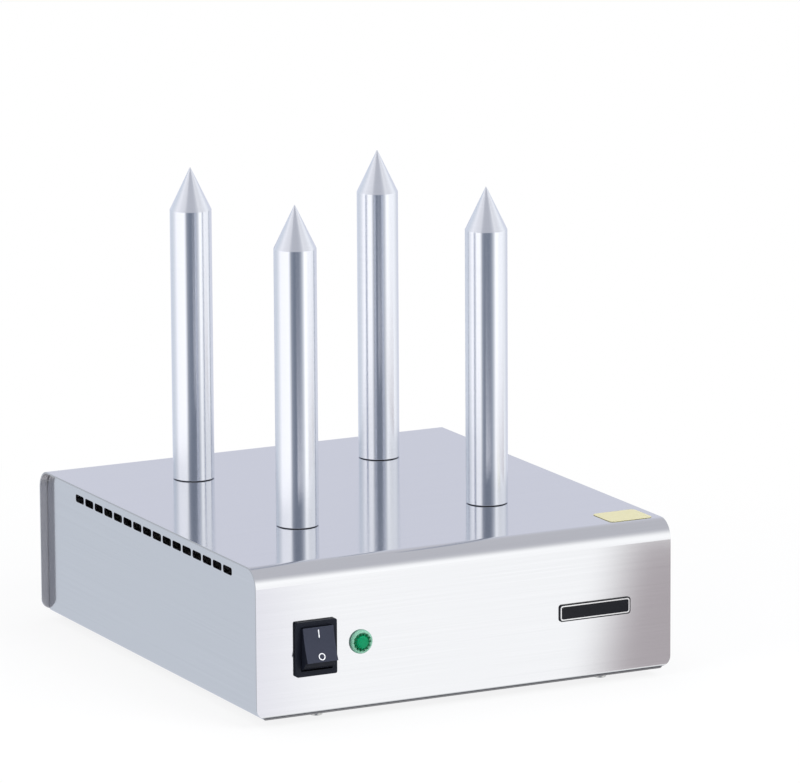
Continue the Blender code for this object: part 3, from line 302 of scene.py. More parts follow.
def linked(obj):
    bpy.context.scene.collection.objects.link(obj)
    return obj


def fromBmesh(name, shape):
    mesh = bpy.data.meshes.new(name)
    shape.to_mesh(mesh)
    shape.free()
    return linked(bpy.data.objects.new(name, mesh))


# The object with its modifiers made part of a plain mesh
def applied(obj):
    graph = bpy.context.evaluated_depsgraph_get()
    mesh = bpy.data.meshes.new_from_object(obj.evaluated_get(graph))
    name = obj.name
    bpy.data.objects.remove(obj)
    mesh.name = name
    return linked(bpy.data.objects.new(name, mesh))


# The same with its doubles merged and its faces pointing outwards
def settled(obj):
    obj = applied(obj)
    shape = bmesh.new()
    shape.from_mesh(obj.data)
    bmesh.ops.remove_doubles(shape, verts=shape.verts, dist=mergeDistance)
    bmesh.ops.recalc_face_normals(shape, faces=shape.faces)
    shape.to_mesh(obj.data)
    shape.free()
    return obj


def moved(obj, matrix):
    obj.data.transform(matrix)
    return obj


def at(x, y, z, turn=Matrix()):
    return Matrix.Translation((x, y, z)) @ turn


# A flat piece between two heights. The outlines after the first are holes in it.
def plate(name, outlines, low, high):
    curve = bpy.data.curves.new(name, "CURVE")
    curve.dimensions = "2D"
    curve.fill_mode = "BOTH"
    curve.extrude = (high - low) / 2
    for outline in outlines:
        spline = curve.splines.new("POLY")
        spline.points.add(len(outline) - 1)
        for point, (x, y) in zip(spline.points, outline):
            point.co = (x, y, 0, 1)
        spline.use_cyclic_u = True
    return moved(settled(linked(bpy.data.objects.new(name, curve))), at(0, 0, (low + high) / 2))


# A profile of (radius, height) points, down its outer side, turned round Z
def lathe(name, profile, steps, ring=False):
    shape = bmesh.new()
    verts = [shape.verts.new((radius, 0, height)) for radius, height in profile]
    for first, second in zip(verts, verts[1:]):
        shape.edges.new((first, second))
    if ring:
        shape.edges.new((verts[-1], verts[0]))
    obj = fromBmesh(name, shape)
    turn = obj.modifiers.new("turn", "SCREW")
    turn.steps = turn.render_steps = steps
    turn.use_merge_vertices = True
    turn.merge_threshold = mergeDistance
    return settled(obj)


def change(target, tool, operation):
    step = target.modifiers.new(tool.name, "BOOLEAN")
    step.operation = operation
    step.solver = "EXACT"
    step.object = tool
    target = applied(target)
    bpy.data.objects.remove(tool)
    return target


def cut(target, tool, matrix=Matrix()):
    return change(target, moved(tool, matrix), "DIFFERENCE")


def join(target, tool, matrix=Matrix()):
    return change(target, moved(tool, matrix), "UNION")


def rounded(obj, width, segments=2, angle=30):
    edge = obj.modifiers.new("edge", "BEVEL")
    edge.width = width
    edge.segments = segments
    edge.limit_method = "ANGLE"
    edge.angle_limit = math.radians(angle)
    return applied(obj)


def giveGrain(mesh, rule):
    while mesh.uv_layers:
        mesh.uv_layers.remove(mesh.uv_layers[0])
    layer = mesh.uv_layers.new(name="grain")
    for loop in mesh.loops:
        layer.data[loop.index].uv = rule(mesh.vertices[loop.vertex_index].co)


# More finishes for a piece. The rule gives a face the number of its finish.
def giveFinishes(obj, names, rule):
    for name in names:
        obj.data.materials.append(made[name])
    for polygon in obj.data.polygons:
        polygon.material_index = rule(polygon.center, polygon.normal)


# Gives a made shape its shading, its finish and its body, and hides the CAD nodes it replaces
def piece(obj, finish, slot, replaced=(), body="casing", grain=None, sharp=50):
    mesh = obj.data
    mesh.materials.clear()
    mesh.materials.append(made[finish])
    if grain:
        giveGrain(mesh, grain)
    mesh.shade_smooth()
    mesh.set_sharp_from_angle(angle=math.radians(sharp))
    obj.modifiers.new("weight", "WEIGHTED_NORMAL").keep_sharp = True
    obj.modifiers["weight"].weight = faceWeight
    obj = applied(obj)
    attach(obj, body)
    if replaced:
        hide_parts(*replaced)
    return obj


# Geometry Nodes trees


def newTree(name, kinds):
    tree = bpy.data.node_groups.new(name, "GeometryNodeTree")
    sockets = tree.interface
    sockets.new_socket("Geometry", in_out="OUTPUT", socket_type="NodeSocketGeometry")
    for label, kind in {"Geometry": "Geometry", **kinds}.items():
        sockets.new_socket(label, in_out="INPUT", socket_type="NodeSocket" + kind)
    return tree, tree.nodes.new("NodeGroupInput").outputs


def closeTree(tree, geometry, finish):
    real = node(tree, "GeometryNodeRealizeInstances", Geometry=geometry)
    coated = node(tree, "GeometryNodeSetMaterial", Geometry=real, Material=finish)
    node(tree, "NodeGroupOutput", Geometry=coated)
    return tree


# Runs a tree on an object. Its inputs are set by the identifiers of its sockets.
def runTree(obj, tree, values):
    step = obj.modifiers.new(tree.name, "NODES")
    step.node_group = tree
    for item in tree.interface.items_tree:
        if item.in_out == "INPUT" and item.name in values:
            step[item.identifier] = values[item.name]
    return applied(obj)


# Copies one shape to the four corners of a rectangle
def cornerTree(finish):
    kinds = {"Shape": "Object", "Spacing X": "Float", "Spacing Y": "Float", "Middle": "Vector"}
    tree, given = newTree("fourCorners", kinds)
    spacing = {"Size_X": given["Spacing X"], "Size_Y": given["Spacing Y"]}
    grid = node(tree, "GeometryNodeMeshGrid", Vertices_X=2, Vertices_Y=2, **spacing)
    spots = node(tree, "GeometryNodeTransform", Geometry=grid, Translation=given["Middle"])
    shape = node(tree, "GeometryNodeObjectInfo", Object=given["Shape"]).outputs["Geometry"]
    copies = node(tree, "GeometryNodeInstanceOnPoints", Points=spots, Instance=shape)
    return closeTree(tree, copies, finish)


def emptyMesh(name):
    return linked(bpy.data.objects.new(name, bpy.data.meshes.new(name)))


def middleOf(name):
    low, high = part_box(name)
    return (low + high) / 2


def atCorners(name):
    return [name + "_" + corner for corner in corners]


# One made shape in the place of the four CAD nodes of that name
def onFourCorners(name, shape, cadName, finish, slot, **shading):
    spots = [middleOf(cadNode) for cadNode in atCorners(cadName)]
    middle = sum(spots, Vector()) / len(spots)
    values = {
        "Shape": shape,
        "Spacing X": spots[1].x - spots[0].x,
        "Spacing Y": spots[2].y - spots[0].y,
        "Middle": (middle.x, middle.y, 0.0),
    }
    placed = runTree(emptyMesh(name), cornerTree(made[finish]), values)
    bpy.data.objects.remove(shape)
    piece(placed, finish, slot, atCorners(cadName), **shading)


# Cover: top, front and back in one bent sheet

cover = {
    "sheet": 0.001,
    "bend": 0.0114,
    "bendSteps": 28,
    "returnBend": 0.0013,
    "returnSteps": 6,
    "returnDepth": 0.015,
    "returnHalfWidth": 0.1278,
    "corner": 0.006,
    "edge": 0.00022,
    "spigotHole": (0.0083, 64),  # radius and steps
    "switchOpening": (0.0222, 0.0302, 0.0008),
    "lampHole": (0.0064, 48),
    "glandHole": (0.0083, 48),
    "screwHole": (0.0023, 32),
    "stud": (0.0015, 24),
    "studLength": 0.0065,
    "studSpacing": 0.024,
    "inwardShare": -0.15,  # the inside of the back shows at its ends; it is duller, and painted lighter as painted light
    "endShare": 0.7,  # a face that turns further than this to the side is part of the cut ends
}
coverLow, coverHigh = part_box("cover")
front, back = coverLow.y, coverHigh.y
halfWay = (front + back) / 2
coverBottom, coverTop = coverLow.z, coverHigh.z
coverWidth = coverHigh.x - coverLow.x
reach = 0.004  # of cutters on either side of a sheet
spikeRowMiddle = (middleOf("spike_front_left").y + middleOf("spike_rear_left").y) / 2
switchMiddle = middleOf("switch_rocker")
controlsZ = middleOf("switch_housing").z
lampX = middleOf("lamp_lens").x
glandMiddle = middleOf("gland_body")


def bentSheet(name, points, sweep, thickness):
    shape = bmesh.new()
    near = [shape.verts.new(point) for point in points]
    far = [shape.verts.new(Vector(point) + sweep) for point in points]
    for first, second, third, fourth in zip(near, near[1:], far[1:], far):
        shape.faces.new((first, second, third, fourth))
    obj = fromBmesh(name, shape)
    wall = obj.modifiers.new("wall", "SOLIDIFY")
    wall.thickness = thickness
    wall.offset = -1
    wall.use_even_offset = True
    return applied(obj)


# All that a rounded corner leaves out: the corner is at the origin, the material at +X and +Y
def cornerCutter(radius, length, steps=16):
    fillet = arc((radius, radius), radius, 2 * quarter, 3 * quarter, steps)
    outline = [(-reach, -reach), (-reach, radius)] + fillet + [(radius, -reach)]
    return plate("cornerCutter", [outline], -length / 2, length / 2)


def holeCutter(hole):
    return plate("hole", [circle(*hole)], -reach, reach)


# Up the front, over the top and down the back, so that highlights spread across the grain
def upTheCover(co):
    return (co.y + co.z if co.y < halfWay else co.y - co.z, co.x)


def makeCover(look):
    big, small = look["bend"], look["returnBend"]
    half = arc((front + big, coverTop - big), big, quarter, 2 * quarter, look["bendSteps"])
    heel = (front + small, coverBottom + small)
    half += arc(heel, small, 2 * quarter, 3 * quarter, look["returnSteps"])
    half += [(front + look["returnDepth"], coverBottom)]
    path = [(2 * halfWay - y, z) for y, z in reversed(half)] + half
    points = [(coverLow.x, y, z) for y, z in path]
    shell = bentSheet("cover_sheet", points, Vector((coverWidth, 0, 0)), look["sheet"])
    depth = back - front
    endWidth = coverWidth / 2 - look["returnHalfWidth"] + reach
    for side, angle in ((-1, 0), (1, 90)):
        turn = toFront @ spin(angle, "Z")
        place = at(side * coverWidth / 2, halfWay, coverBottom, turn)
        shell = cut(shell, cornerCutter(look["corner"], depth + reach), place)
        outline = roundedBox(endWidth, depth - 2 * small + fitGap, small, 2)
        middle = side * (look["returnHalfWidth"] + endWidth / 2)
        shell = cut(shell, plate("end", [outline], -small, small), at(middle, halfWay, coverBottom))
    holes = (("spike", "spigotHole", coverTop), ("base_screw", "screwHole", coverBottom))
    for name, hole, height in holes:
        for spot in map(middleOf, atCorners(name)):
            shell = cut(shell, holeCutter(look[hole]), at(spot.x, spot.y, height))
    opening = plate("opening", [roundedBox(*look["switchOpening"])], -reach, reach)
    for tool, x, y, z, turn in (
        (opening, switchMiddle.x, front, controlsZ, toFront),
        (holeCutter(look["lampHole"]), lampX, front, controlsZ, toFront),
        (holeCutter(look["glandHole"]), glandMiddle.x, back, glandMiddle.z, toBack),
    ):
        shell = cut(shell, tool, at(x, y, z, turn))
    shell = rounded(shell, look["edge"])
    outline, sheet = circle(*look["stud"]), look["sheet"]
    for side in (-1, 1):
        stud = plate("stud", [outline], -look["studLength"], sheet / 2)
        x = side * look["studSpacing"] / 2
        shell = join(shell, stud, at(x, spikeRowMiddle, coverTop - sheet))
    shell = piece(shell, "brushedSteel", "brushed_steel", ["cover"], grain=upTheCover)

    # Finish 1 paints the inside of the back lighter as painted light; finish 2 is the steel of the
    # cut ends
    def shade(spot, normal):
        if abs(spot.x) > (coverWidth - look["edge"]) / 2 and abs(normal.x) > look["endShare"]:
            return 2
        return int(spot.y > back - big and normal.y < look["inwardShare"])

    giveFinishes(shell, ("flangeSteel", "cutSteel"), shade)


makeCover(cover)
print("cover made")


# Tray: floor and both sides in one bent sheet, its vent slots punched by Geometry Nodes

tray = {
    "sheet": 0.001,
    "bend": 0.0018,
    "bendSteps": 8,
    "cornerBend": 0.0104,
    "closer": 0.0002,  # to the front and back of the cover
    "edge": (0.00018, 2, 40),  # width, segments and the least angle
    "footHole": (0.0033, 32),
    "screwHole": (0.0023, 32),
    "endShare": 0.5,  # how far a face turns at the ends of the floor and in the slots
}
ventSlots = {
    "Slot count": 16,
    "Pitch": 0.01373,
    "Length": 0.0118,
    "Height": 0.0046,
    "Corner": 0.0015,
    "Corner steps": 6,
    "Drop": 0.0098,
    "Row offset": -0.001,
}
trayLow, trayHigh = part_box("base_tray")


def upTheTray(co):
    return (co.z + abs(co.x), co.y)


def slotTree(finish):
    kinds = dict.fromkeys(("Slot count", "Corner steps"), "Int")
    kinds.update(dict.fromkeys(("Pitch", "Length", "Height", "Corner", "Through"), "Float"))
    tree, given = newTree("ventSlots", {**kinds, "Row middle": "Vector"})
    size = {"Width": given["Length"], "Height": given["Height"]}
    outline = node(tree, "GeometryNodeCurvePrimitiveQuadrilateral", **size)
    corner = {"Radius": given["Corner"], "Count": given["Corner steps"]}
    outline = node(tree, "GeometryNodeFilletCurve", {"mode": "POLY"}, Curve=outline, **corner)
    end = node(tree, "ShaderNodeCombineXYZ", X=given["Through"])
    other = node(tree, "ShaderNodeCombineXYZ", X=treeMath(tree, "MULTIPLY", given["Through"], -1.0))
    line = node(tree, "GeometryNodeCurvePrimitiveLine", Start=other, End=end)
    bar = node(tree, "GeometryNodeCurveToMesh", Curve=line, Profile_Curve=outline, Fill_Caps=True)
    step = node(tree, "ShaderNodeCombineXYZ", Y=given["Pitch"])
    half = treeMath(tree, "MULTIPLY", treeMath(tree, "SUBTRACT", given["Slot count"], 1.0), -0.5)
    begin = node(tree, "ShaderNodeCombineXYZ", Y=treeMath(tree, "MULTIPLY", half, given["Pitch"]))
    first = node(tree, "ShaderNodeVectorMath", {"operation": "ADD"})
    feedAll(tree, first.inputs, (begin, given["Row middle"]))
    run = {"Start_Location": first, "Offset": step}
    row = node(tree, "GeometryNodeMeshLine", Count=given["Slot count"], **run)
    bars = node(tree, "GeometryNodeInstanceOnPoints", Points=row, Instance=bar)
    punched = node(tree, "GeometryNodeMeshBoolean", {"operation": "DIFFERENCE", "solver": "EXACT"})
    feedAll(tree, punched.inputs, (given["Geometry"], bars))
    return closeTree(tree, punched, finish)


def makeTray(look, slots):
    half, bend = trayHigh.x, look["bend"]
    low, high = trayLow.z, trayHigh.z
    right = arc((half - bend, low + bend), bend, 3 * quarter, 4 * quarter, look["bendSteps"])
    right += [(half, high)]
    path = [(-x, z) for x, z in reversed(right)] + right
    points = [(x, trayHigh.y + look["closer"], z) for x, z in path]
    sweep = Vector((0, trayLow.y - trayHigh.y - 2 * look["closer"], 0))
    shell = bentSheet("tray_sheet", points, sweep, look["sheet"])
    alongX = Matrix(((0, 0, 1, 0), (1, 0, 0, 0), (0, 1, 0, 0), (0, 0, 0, 1)))
    for end, angle in ((trayLow.y, -90), (trayHigh.y, 180)):
        turn = alongX @ spin(angle, "Z")
        corner = cornerCutter(look["cornerBend"], 2 * half + 2 * reach)
        shell = cut(shell, corner, at(0, end, high, turn))
    screws = atCorners("base_screw") + ["terminal_screw_left", "terminal_screw_right", "earth_bolt"]
    for names, hole in ((atCorners("foot"), "footHole"), (screws, "screwHole")):
        for spot in map(middleOf, names):
            shell = cut(shell, holeCutter(look[hole]), at(spot.x, spot.y, low))
    row = (0.0, halfWay + slots["Row offset"], coverTop - slots["Drop"])
    values = {**slots, "Through": half + reach, "Row middle": row}
    shell = runTree(shell, slotTree(made["sideSteel"]), values)
    shell = rounded(shell, *look["edge"])
    shell = piece(shell, "sideSteel", "tray_steel", ["base_tray"], grain=upTheTray)
    length, tall = slots["Slot count"] * slots["Pitch"], slots["Height"] + fitGap

    # The walls of the slots are painted near black, partly the dark of a burnt cut edge and partly
    # painted shade, and the ends of the floor get painted shade
    def shade(spot, normal):
        inRow = abs(spot.y - row[1]) < length / 2 and abs(spot.z - row[2]) < tall / 2
        inSide = abs(spot.x) > half - 2 * look["sheet"]
        if inRow and inSide and abs(normal.x) < look["endShare"]:
            return 1
        return 2 if abs(normal.y) > look["endShare"] and spot.z < low + bend else 0

    giveFinishes(shell, ("burntEdge", "shadedSteel"), shade)


makeTray(tray, ventSlots)
print("tray made with", ventSlots["Slot count"], "slots a side")


# Spikes: turned aluminium, one shape on four corners

spike = {
    "radius": 0.0125,
    "cone": 0.0254,
    "tip": 0.0003,
    "shoulderRound": 0.0005,
    "footRound": 0.0004,
    "spigot": 0.008,
    "bore": 0.0053,
    "boreRoof": 0.012,
    "steps": 96,
    "coneShare": 0.3,  # how much the way across the cone counts in its grain
    "sharp": 12,
}


def makeSpikes(look):
    low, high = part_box("spike_front_left")
    seat = coverTop + fitGap
    radius, shoulder = look["radius"], high.z - look["cone"]
    tip, heel, ease = look["tip"], look["footRound"], look["shoulderRound"]
    slope = math.atan2(radius - tip, look["cone"] - tip / 2)
    bend = ease / math.tan((math.pi - slope) / 2)
    profile = [(0, high.z), (tip, high.z - tip / 2)]
    profile += arc((radius - ease, shoulder - bend), ease, slope, 0)
    profile += arc((radius - heel, seat + heel), heel, 0, -quarter)
    profile += [(look["spigot"], seat), (look["spigot"], low.z), (look["bore"], low.z)]
    roof = shoulder - look["boreRoof"]
    profile += [(look["bore"], roof), (0, roof)]
    single = lathe("spike", profile, look["steps"])
    spots = [middleOf(name) for name in atCorners("spike")]

    def upTheSpike(co):
        spot = min(spots, key=lambda spot: math.dist(spot.xy, co.xy))
        x, y = co.x - spot.x, co.y - spot.y
        return (co.z + math.hypot(x, y) * look["coneShare"], math.atan2(y, x) * radius)

    names = ("spike", "turnedAluminium", "turned_aluminium")
    onFourCorners("spikes", single, *names, grain=upTheSpike, sharp=look["sharp"])


makeSpikes(spike)
print("spikes made")


# Feet and base screws

foot = {
    "radius": 0.0092,
    "height": 0.0047,
    "toe": 0.0008,
    "topSteps": 4,
    "neck": 0.003,
    "neckLength": 0.0016,
    "barb": 0.0043,
    "barbTip": 0.0022,
    "barbHeight": 0.0032,
    "recessRadius": 0.0035,
    "recess": 0.0022,
    "steps": 48,
    "sharp": 40,
}
baseScrew = {
    "radius": 0.002,
    "length": 0.008,
    "headRadius": 0.0038,
    "head": 0.0022,
    "crown": 0.0007,
    "recess": (0.0042, 0.0009, 0.00015, 2),
    "recessDepth": 0.0011,
    "steps": 40,
    "sharp": 40,
}


def makeFeet(look):
    top, toe, radius = look["height"], look["toe"], look["radius"]
    neckTop = top + look["neckLength"]
    profile = [(0, neckTop + look["barbHeight"]), (look["barbTip"], neckTop + look["barbHeight"])]
    profile += [(look["barb"], neckTop), (look["neck"], neckTop), (look["neck"], top)]
    profile += arc((radius - toe / 2, top - toe / 2), toe / 2, quarter, 0, look["topSteps"])
    profile += arc((radius - toe, toe), toe, 0, -quarter)
    recess, depth = look["recessRadius"], look["recess"]
    profile += [(recess + toe / 4, 0), (recess, toe / 4), (recess, depth), (0, depth)]
    single = lathe("foot", profile, look["steps"])
    onFourCorners("feet", single, "foot", "footRubber", "foot_rubber", sharp=look["sharp"])


def makeBaseScrews(look):
    crown, head, depth = look["crown"], look["head"], look["recessDepth"]
    profile = [(0, look["length"]), (look["radius"], look["length"]), (look["radius"], 0)]
    profile += [(look["headRadius"], 0)]
    profile += arc((look["headRadius"] - crown, crown - head), crown, 0, -quarter)
    profile += [(0, -head)]
    single = lathe("screw", profile, look["steps"])
    for angle in (0, 90):
        bar = plate("bar", [roundedBox(*look["recess"])], -depth, depth)
        single = cut(single, bar, at(0, 0, -head, spin(angle, "Z")))
    moved(single, at(0, 0, trayLow.z - fitGap))
    names = ("base_screw", "zincSteel", "zinc_steel")
    onFourCorners("base_screws", single, *names, sharp=look["sharp"])


makeFeet(foot)
makeBaseScrews(baseScrew)
print("feet and base screws made")


# Rocker switch

switch = {
    "bezel": (0.0259, 0.0321, 0.0011),
    "bezelThickness": 0.002,
    "bezelEdge": (0.0006, 3),
    "body": (0.0216, 0.0296, 0.0008),
    "bodyDepth": 0.021,
    "lip": 0.0012,
    "wellWidth": 0.02,
    "wellRadius": 0.0135,
    "wellDepth": 0.0066,
    "wellCorner": 0.0002,
    "edge": (0.00022, 2, 60),
    "snapWidth": 0.006,
    "snapStep": 0.0012,
    "snapLength": 0.005,
    "pivotHole": (0.00162, 32),
}
rocker = {
    "width": 0.0194,
    "radius": 0.0131,
    "faceRadius": 0.0149,
    "faceAngle": math.radians(43),
    "endAngle": math.radians(50),
    "skirtAngle": math.radians(86),
    "tilt": 17.5,
    "pivotDepth": 0.003,
    "dish": 0.0008,
    "wall": 0.0022,
    "hub": 0.0032,
    "edge": (0.0006, 3, 40),
    "pin": (0.0015, 32),
    "pinLength": 0.0009,
    "bar": (0.00065, 0.0046, 0.0063),  # width, height and middle above the pivot
    "ring": (0.0021, 0.0015, -0.0070),  # outer and inner radius and middle
    "paint": 0.00006,
    "faceShare": 0.8,  # a side that turns further than this from the front gets the black plastic, as painted shade
    "faceSteps": 12,
    "arcSteps": 8,
}
pivot = Vector((switchMiddle.x, front + rocker["pivotDepth"], controlsZ))


def makeHousing(look):
    thickness, depth, lip = look["bezelThickness"], look["bodyDepth"], look["lip"]
    face = front - fitGap - thickness
    bezel = plate("switch_frame", [roundedBox(*look["bezel"])], -thickness, 0)
    bezel = rounded(bezel, *look["bezelEdge"])
    body = plate("body", [roundedBox(*look["body"])], -thickness - depth, -thickness / 2)
    shape = moved(join(bezel, body), at(pivot.x, face, controlsZ, toFront))
    opening = 2 * math.sqrt(look["wellRadius"] ** 2 - (pivot.y - face - lip) ** 2)
    wellBack = front + look["wellDepth"]
    for start, end, tall in (
        (face + lip - 2 * reach, face + lip, opening),
        (face + lip, wellBack, 2 * look["wellRadius"]),
    ):
        outline = roundedBox(look["wellWidth"], end - start, look["wellCorner"], 2)
        hollow = plate("hollow", [outline], -tall / 2, tall / 2)
        shape = cut(shape, hollow, at(pivot.x, (start + end) / 2, controlsZ))
    width, height = look["body"][:2]
    hole = plate("hole", [circle(*look["pivotHole"])], -width, width)
    shape = rounded(cut(shape, hole, at(*pivot, spin(90, "Y"))), *look["edge"])
    seat = at(pivot.x, front + cover["sheet"] + fitGap, controlsZ, spin(-90, "Y"))
    for side in (-1, 1):
        start, end = side * (height / 2 - fitGap), side * (height / 2 + look["snapStep"])
        outline = [(start, 0), (end, 0), (start, look["snapLength"])]
        snap = plate("snap", [outline], -look["snapWidth"] / 2, look["snapWidth"] / 2)
        shape = join(shape, snap, seat)
    piece(shape, "blackPlastic", "black_plastic", ["switch_housing"])


def makeRocker(look):
    radius, skirt, steps = look["radius"], look["skirtAngle"], look["faceSteps"]
    rim = look["faceRadius"] * math.cos(look["faceAngle"])
    end = look["faceRadius"] * math.sin(look["faceAngle"])

    def faceAt(up):
        return rim - look["dish"] * (1 - (up / end) ** 2)

    upper = [(faceAt(end * i / steps), end * i / steps) for i in range(1, steps + 1)]
    upper += arc((0, 0), radius, look["endAngle"], skirt, look["arcSteps"])
    inner = radius - look["wall"]
    upper += [(inner * math.cos(skirt), inner * math.sin(skirt)), (look["hub"], look["hub"])]
    upper += arc((0, 0), look["hub"], quarter, 2 * quarter, look["arcSteps"])
    lower = [(forward, -up) for forward, up in reversed(upper[:-1])]
    outline = [(faceAt(0), 0)] + upper + lower
    half = look["width"] / 2
    body = rounded(plate("switch_button", [outline], -half, half), *look["edge"])
    pinEnd = half + look["pinLength"]
    body = join(body, plate("pins", [circle(*look["pin"])], -pinEnd, pinEnd))
    facing = Matrix(((0, 0, -1, 0), (-1, 0, 0, 0), (0, 1, 0, 0), (0, 0, 0, 1)))
    hinge = at(*pivot, spin(-look["tilt"], "X"))
    moved(body, hinge @ facing)
    body = piece(body, "rockerPlastic", "rocker_plastic", ["switch_rocker"], body="rocker")
    # The rocker is one plastic; its sides and ends are painted with the darker black plastic as
    # painted shade
    ahead = hinge.to_3x3() @ Vector((0, -1, 0))
    giveFinishes(body, ["blackPlastic"], lambda spot, normal: normal.dot(ahead) < look["faceShare"])

    paint = look["paint"]
    width, height, barMiddle = look["bar"]
    outer, inner, ringMiddle = look["ring"]
    for name, outlines, middle in (
        ("on_mark", [roundedBox(width, height, width / 3, 4)], barMiddle),
        ("off_mark", [circle(outer), circle(inner)], ringMiddle),
    ):
        mark = moved(plate(name, outlines, 0, paint), at(0, middle, 0))
        for vert in mark.data.vertices:
            x, up, lift = vert.co
            vert.co = (x, -faceAt(up) - (lift if lift > paint / 2 else -paint), up)
        piece(moved(mark, hinge), "whitePaint", "rocker_plastic", body="rocker")


makeHousing(switch)
makeRocker(rocker)
print("switch made")


# Indicator lamp: a pale rim, a ring of teeth and a domed core

lamp = {
    "rimRadius": 0.0071,
    "rimInner": 0.0057,
    "rimBack": 0.0009,
    "rimFace": 0.0021,
    "rimRound": 0.0005,
    "rimSteps": 12,
    "lip": 0.00015,
    "lipEnd": 0.00003,
    "wellFloor": 0.0015,
    "coreRadius": 0.0038,
    "crown": 0.0032,
    "skirtRadius": 0.0048,
    "skirtWall": 0.0009,
    "skirt": 0.005,
    "domeShare": 0.65,  # of the core's height; the rest is upright
    "steps": 72,
}
lensTeeth = {
    "Teeth": 14,
    "Ring radius": 0.0047,
    "Tooth width": 0.0007,
    "Tooth length": 0.0013,
    "Tooth height": 0.0009,
}


def toothTree(finish):
    sizes = dict.fromkeys(("Ring radius", "Tooth width", "Tooth length", "Tooth height"), "Float")
    tree, given = newTree("lensTeeth", {"Teeth": "Int", **sizes})
    ring = {"Resolution": given["Teeth"], "Radius": given["Ring radius"]}
    ring = node(tree, "GeometryNodeCurvePrimitiveCircle", **ring)
    points = node(tree, "GeometryNodeCurveToPoints", {"mode": "EVALUATED"}, Curve=ring)
    size = {"X": given["Tooth length"], "Y": given["Tooth width"], "Z": given["Tooth height"]}
    size = node(tree, "ShaderNodeCombineXYZ", **size)
    tooth = node(tree, "GeometryNodeMeshCube", Size=size, Vertices_X=2, Vertices_Y=3, Vertices_Z=2)
    place = node(tree, "GeometryNodeInputPosition")
    aim = node(tree, "FunctionNodeAlignRotationToVector", {"axis": "X"}, Vector=place)
    copied = {"Points": points, "Instance": tooth, "Rotation": aim}
    return closeTree(tree, node(tree, "GeometryNodeInstanceOnPoints", **copied), finish)


def makeLamp(look, teeth):
    facing = at(lampX, front - fitGap, controlsZ, toFront)
    outer, inner, soft = look["rimRadius"], look["rimInner"], look["rimRound"]
    backZ, face, floor = look["rimBack"], look["rimFace"], look["wellFloor"]
    lip, lipEnd, skirt = outer - look["lip"], look["lipEnd"], look["skirtRadius"]
    profile = [(inner - soft / 2, face - soft / 2)]
    profile += oval((inner, lipEnd), outer - inner, face - lipEnd, quarter, 0, look["rimSteps"])
    profile += [(lip, lipEnd), (lip, backZ), (skirt, backZ), (skirt, floor - soft / 3)]
    rim = lathe("lamp_rim", profile, look["steps"], ring=True)
    piece(moved(rim, facing), "lensRim", "lens_green", ["lamp_lens"])

    core, height = look["coreRadius"], look["crown"] - floor
    rise = height * look["domeShare"]
    wall, end = skirt - look["skirtWall"], backZ - look["skirt"]
    profile = oval((0, floor + height - rise), core, rise, quarter, 0)
    profile += [(core + soft / 3, floor), (skirt, floor), (skirt, end), (wall, end)]
    profile += [(wall, backZ), (0, backZ)]
    lens = lathe("lamp_core", profile, look["steps"])
    piece(moved(lens, facing), "lensCore", "lens_green")
    ring = runTree(emptyMesh("lamp_teeth"), toothTree(made["lensTeeth"]), teeth)
    moved(ring, facing @ at(0, 0, floor + teeth["Tooth height"] / 2))
    piece(ring, "lensTeeth", "lens_green")


makeLamp(lamp, lensTeeth)
print("lamp made")


# Badge place and blank label

badge = {
    "size": (0.047, 0.0102, 0.0018),
    "thickness": 0.0008,
    "inset": 0.0007,
    "line": 0.0007,
    "raise": 0.00018,
}
label = {"corner": 0.003, "cornerSteps": 10, "edge": 0.00006}


def makeBadge(look):
    low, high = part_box("badge_plate")
    middle = (low + high) / 2
    width, height, corner = look["size"]
    thickness, raised = look["thickness"], look["raise"]
    facing = at(middle.x, high.y, middle.z, toFront)
    field = plate("badge_field", [roundedBox(width, height, corner)], 0, thickness - raised)
    piece(moved(rounded(field, raised), facing), "badgeBlack", "badge_black", ["badge_plate"])
    outlines = []
    for inset in (look["inset"], look["inset"] + look["line"]):
        size = (width - 2 * inset, height - 2 * inset)
        outlines.append(roundedBox(*size, corner - inset / 2))
    line = plate("badge_line", outlines, thickness / 2, thickness)
    piece(moved(rounded(line, raised / 2), facing), "badgeSilver", "zinc_steel")


def makeLabel(look):
    low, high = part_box("blank_label")
    middle = (low + high) / 2
    size = (high.x - low.x, high.y - low.y)
    outline = roundedBox(*size, look["corner"], look["cornerSteps"])
    film = rounded(plate("label_film", [outline], low.z, high.z), look["edge"])
    piece(moved(film, at(middle.x, middle.y, 0)), "labelFilm", "label_yellow", ["blank_label"])


makeBadge(badge)
makeLabel(label)
print("badge place and label made")


# Cable gland on the back

gland = {
    "hexFlats": 0.022,
    "hex": 0.0045,
    "thread": 0.008,
    "threadLength": 0.009,
    "bore": 0.0045,
    "collarRadius": 0.0078,
    "collar": 0.006,
    "nutFlats": 0.02,
    "nutHex": 0.0075,
    "dome": 0.005,
    "shoulder": 0.0012,
    "mouth": 0.0052,
    "sealWall": 0.0012,
    "edge": (0.0004, 3),
    "steps": 64,
    "domeSteps": 72,
}


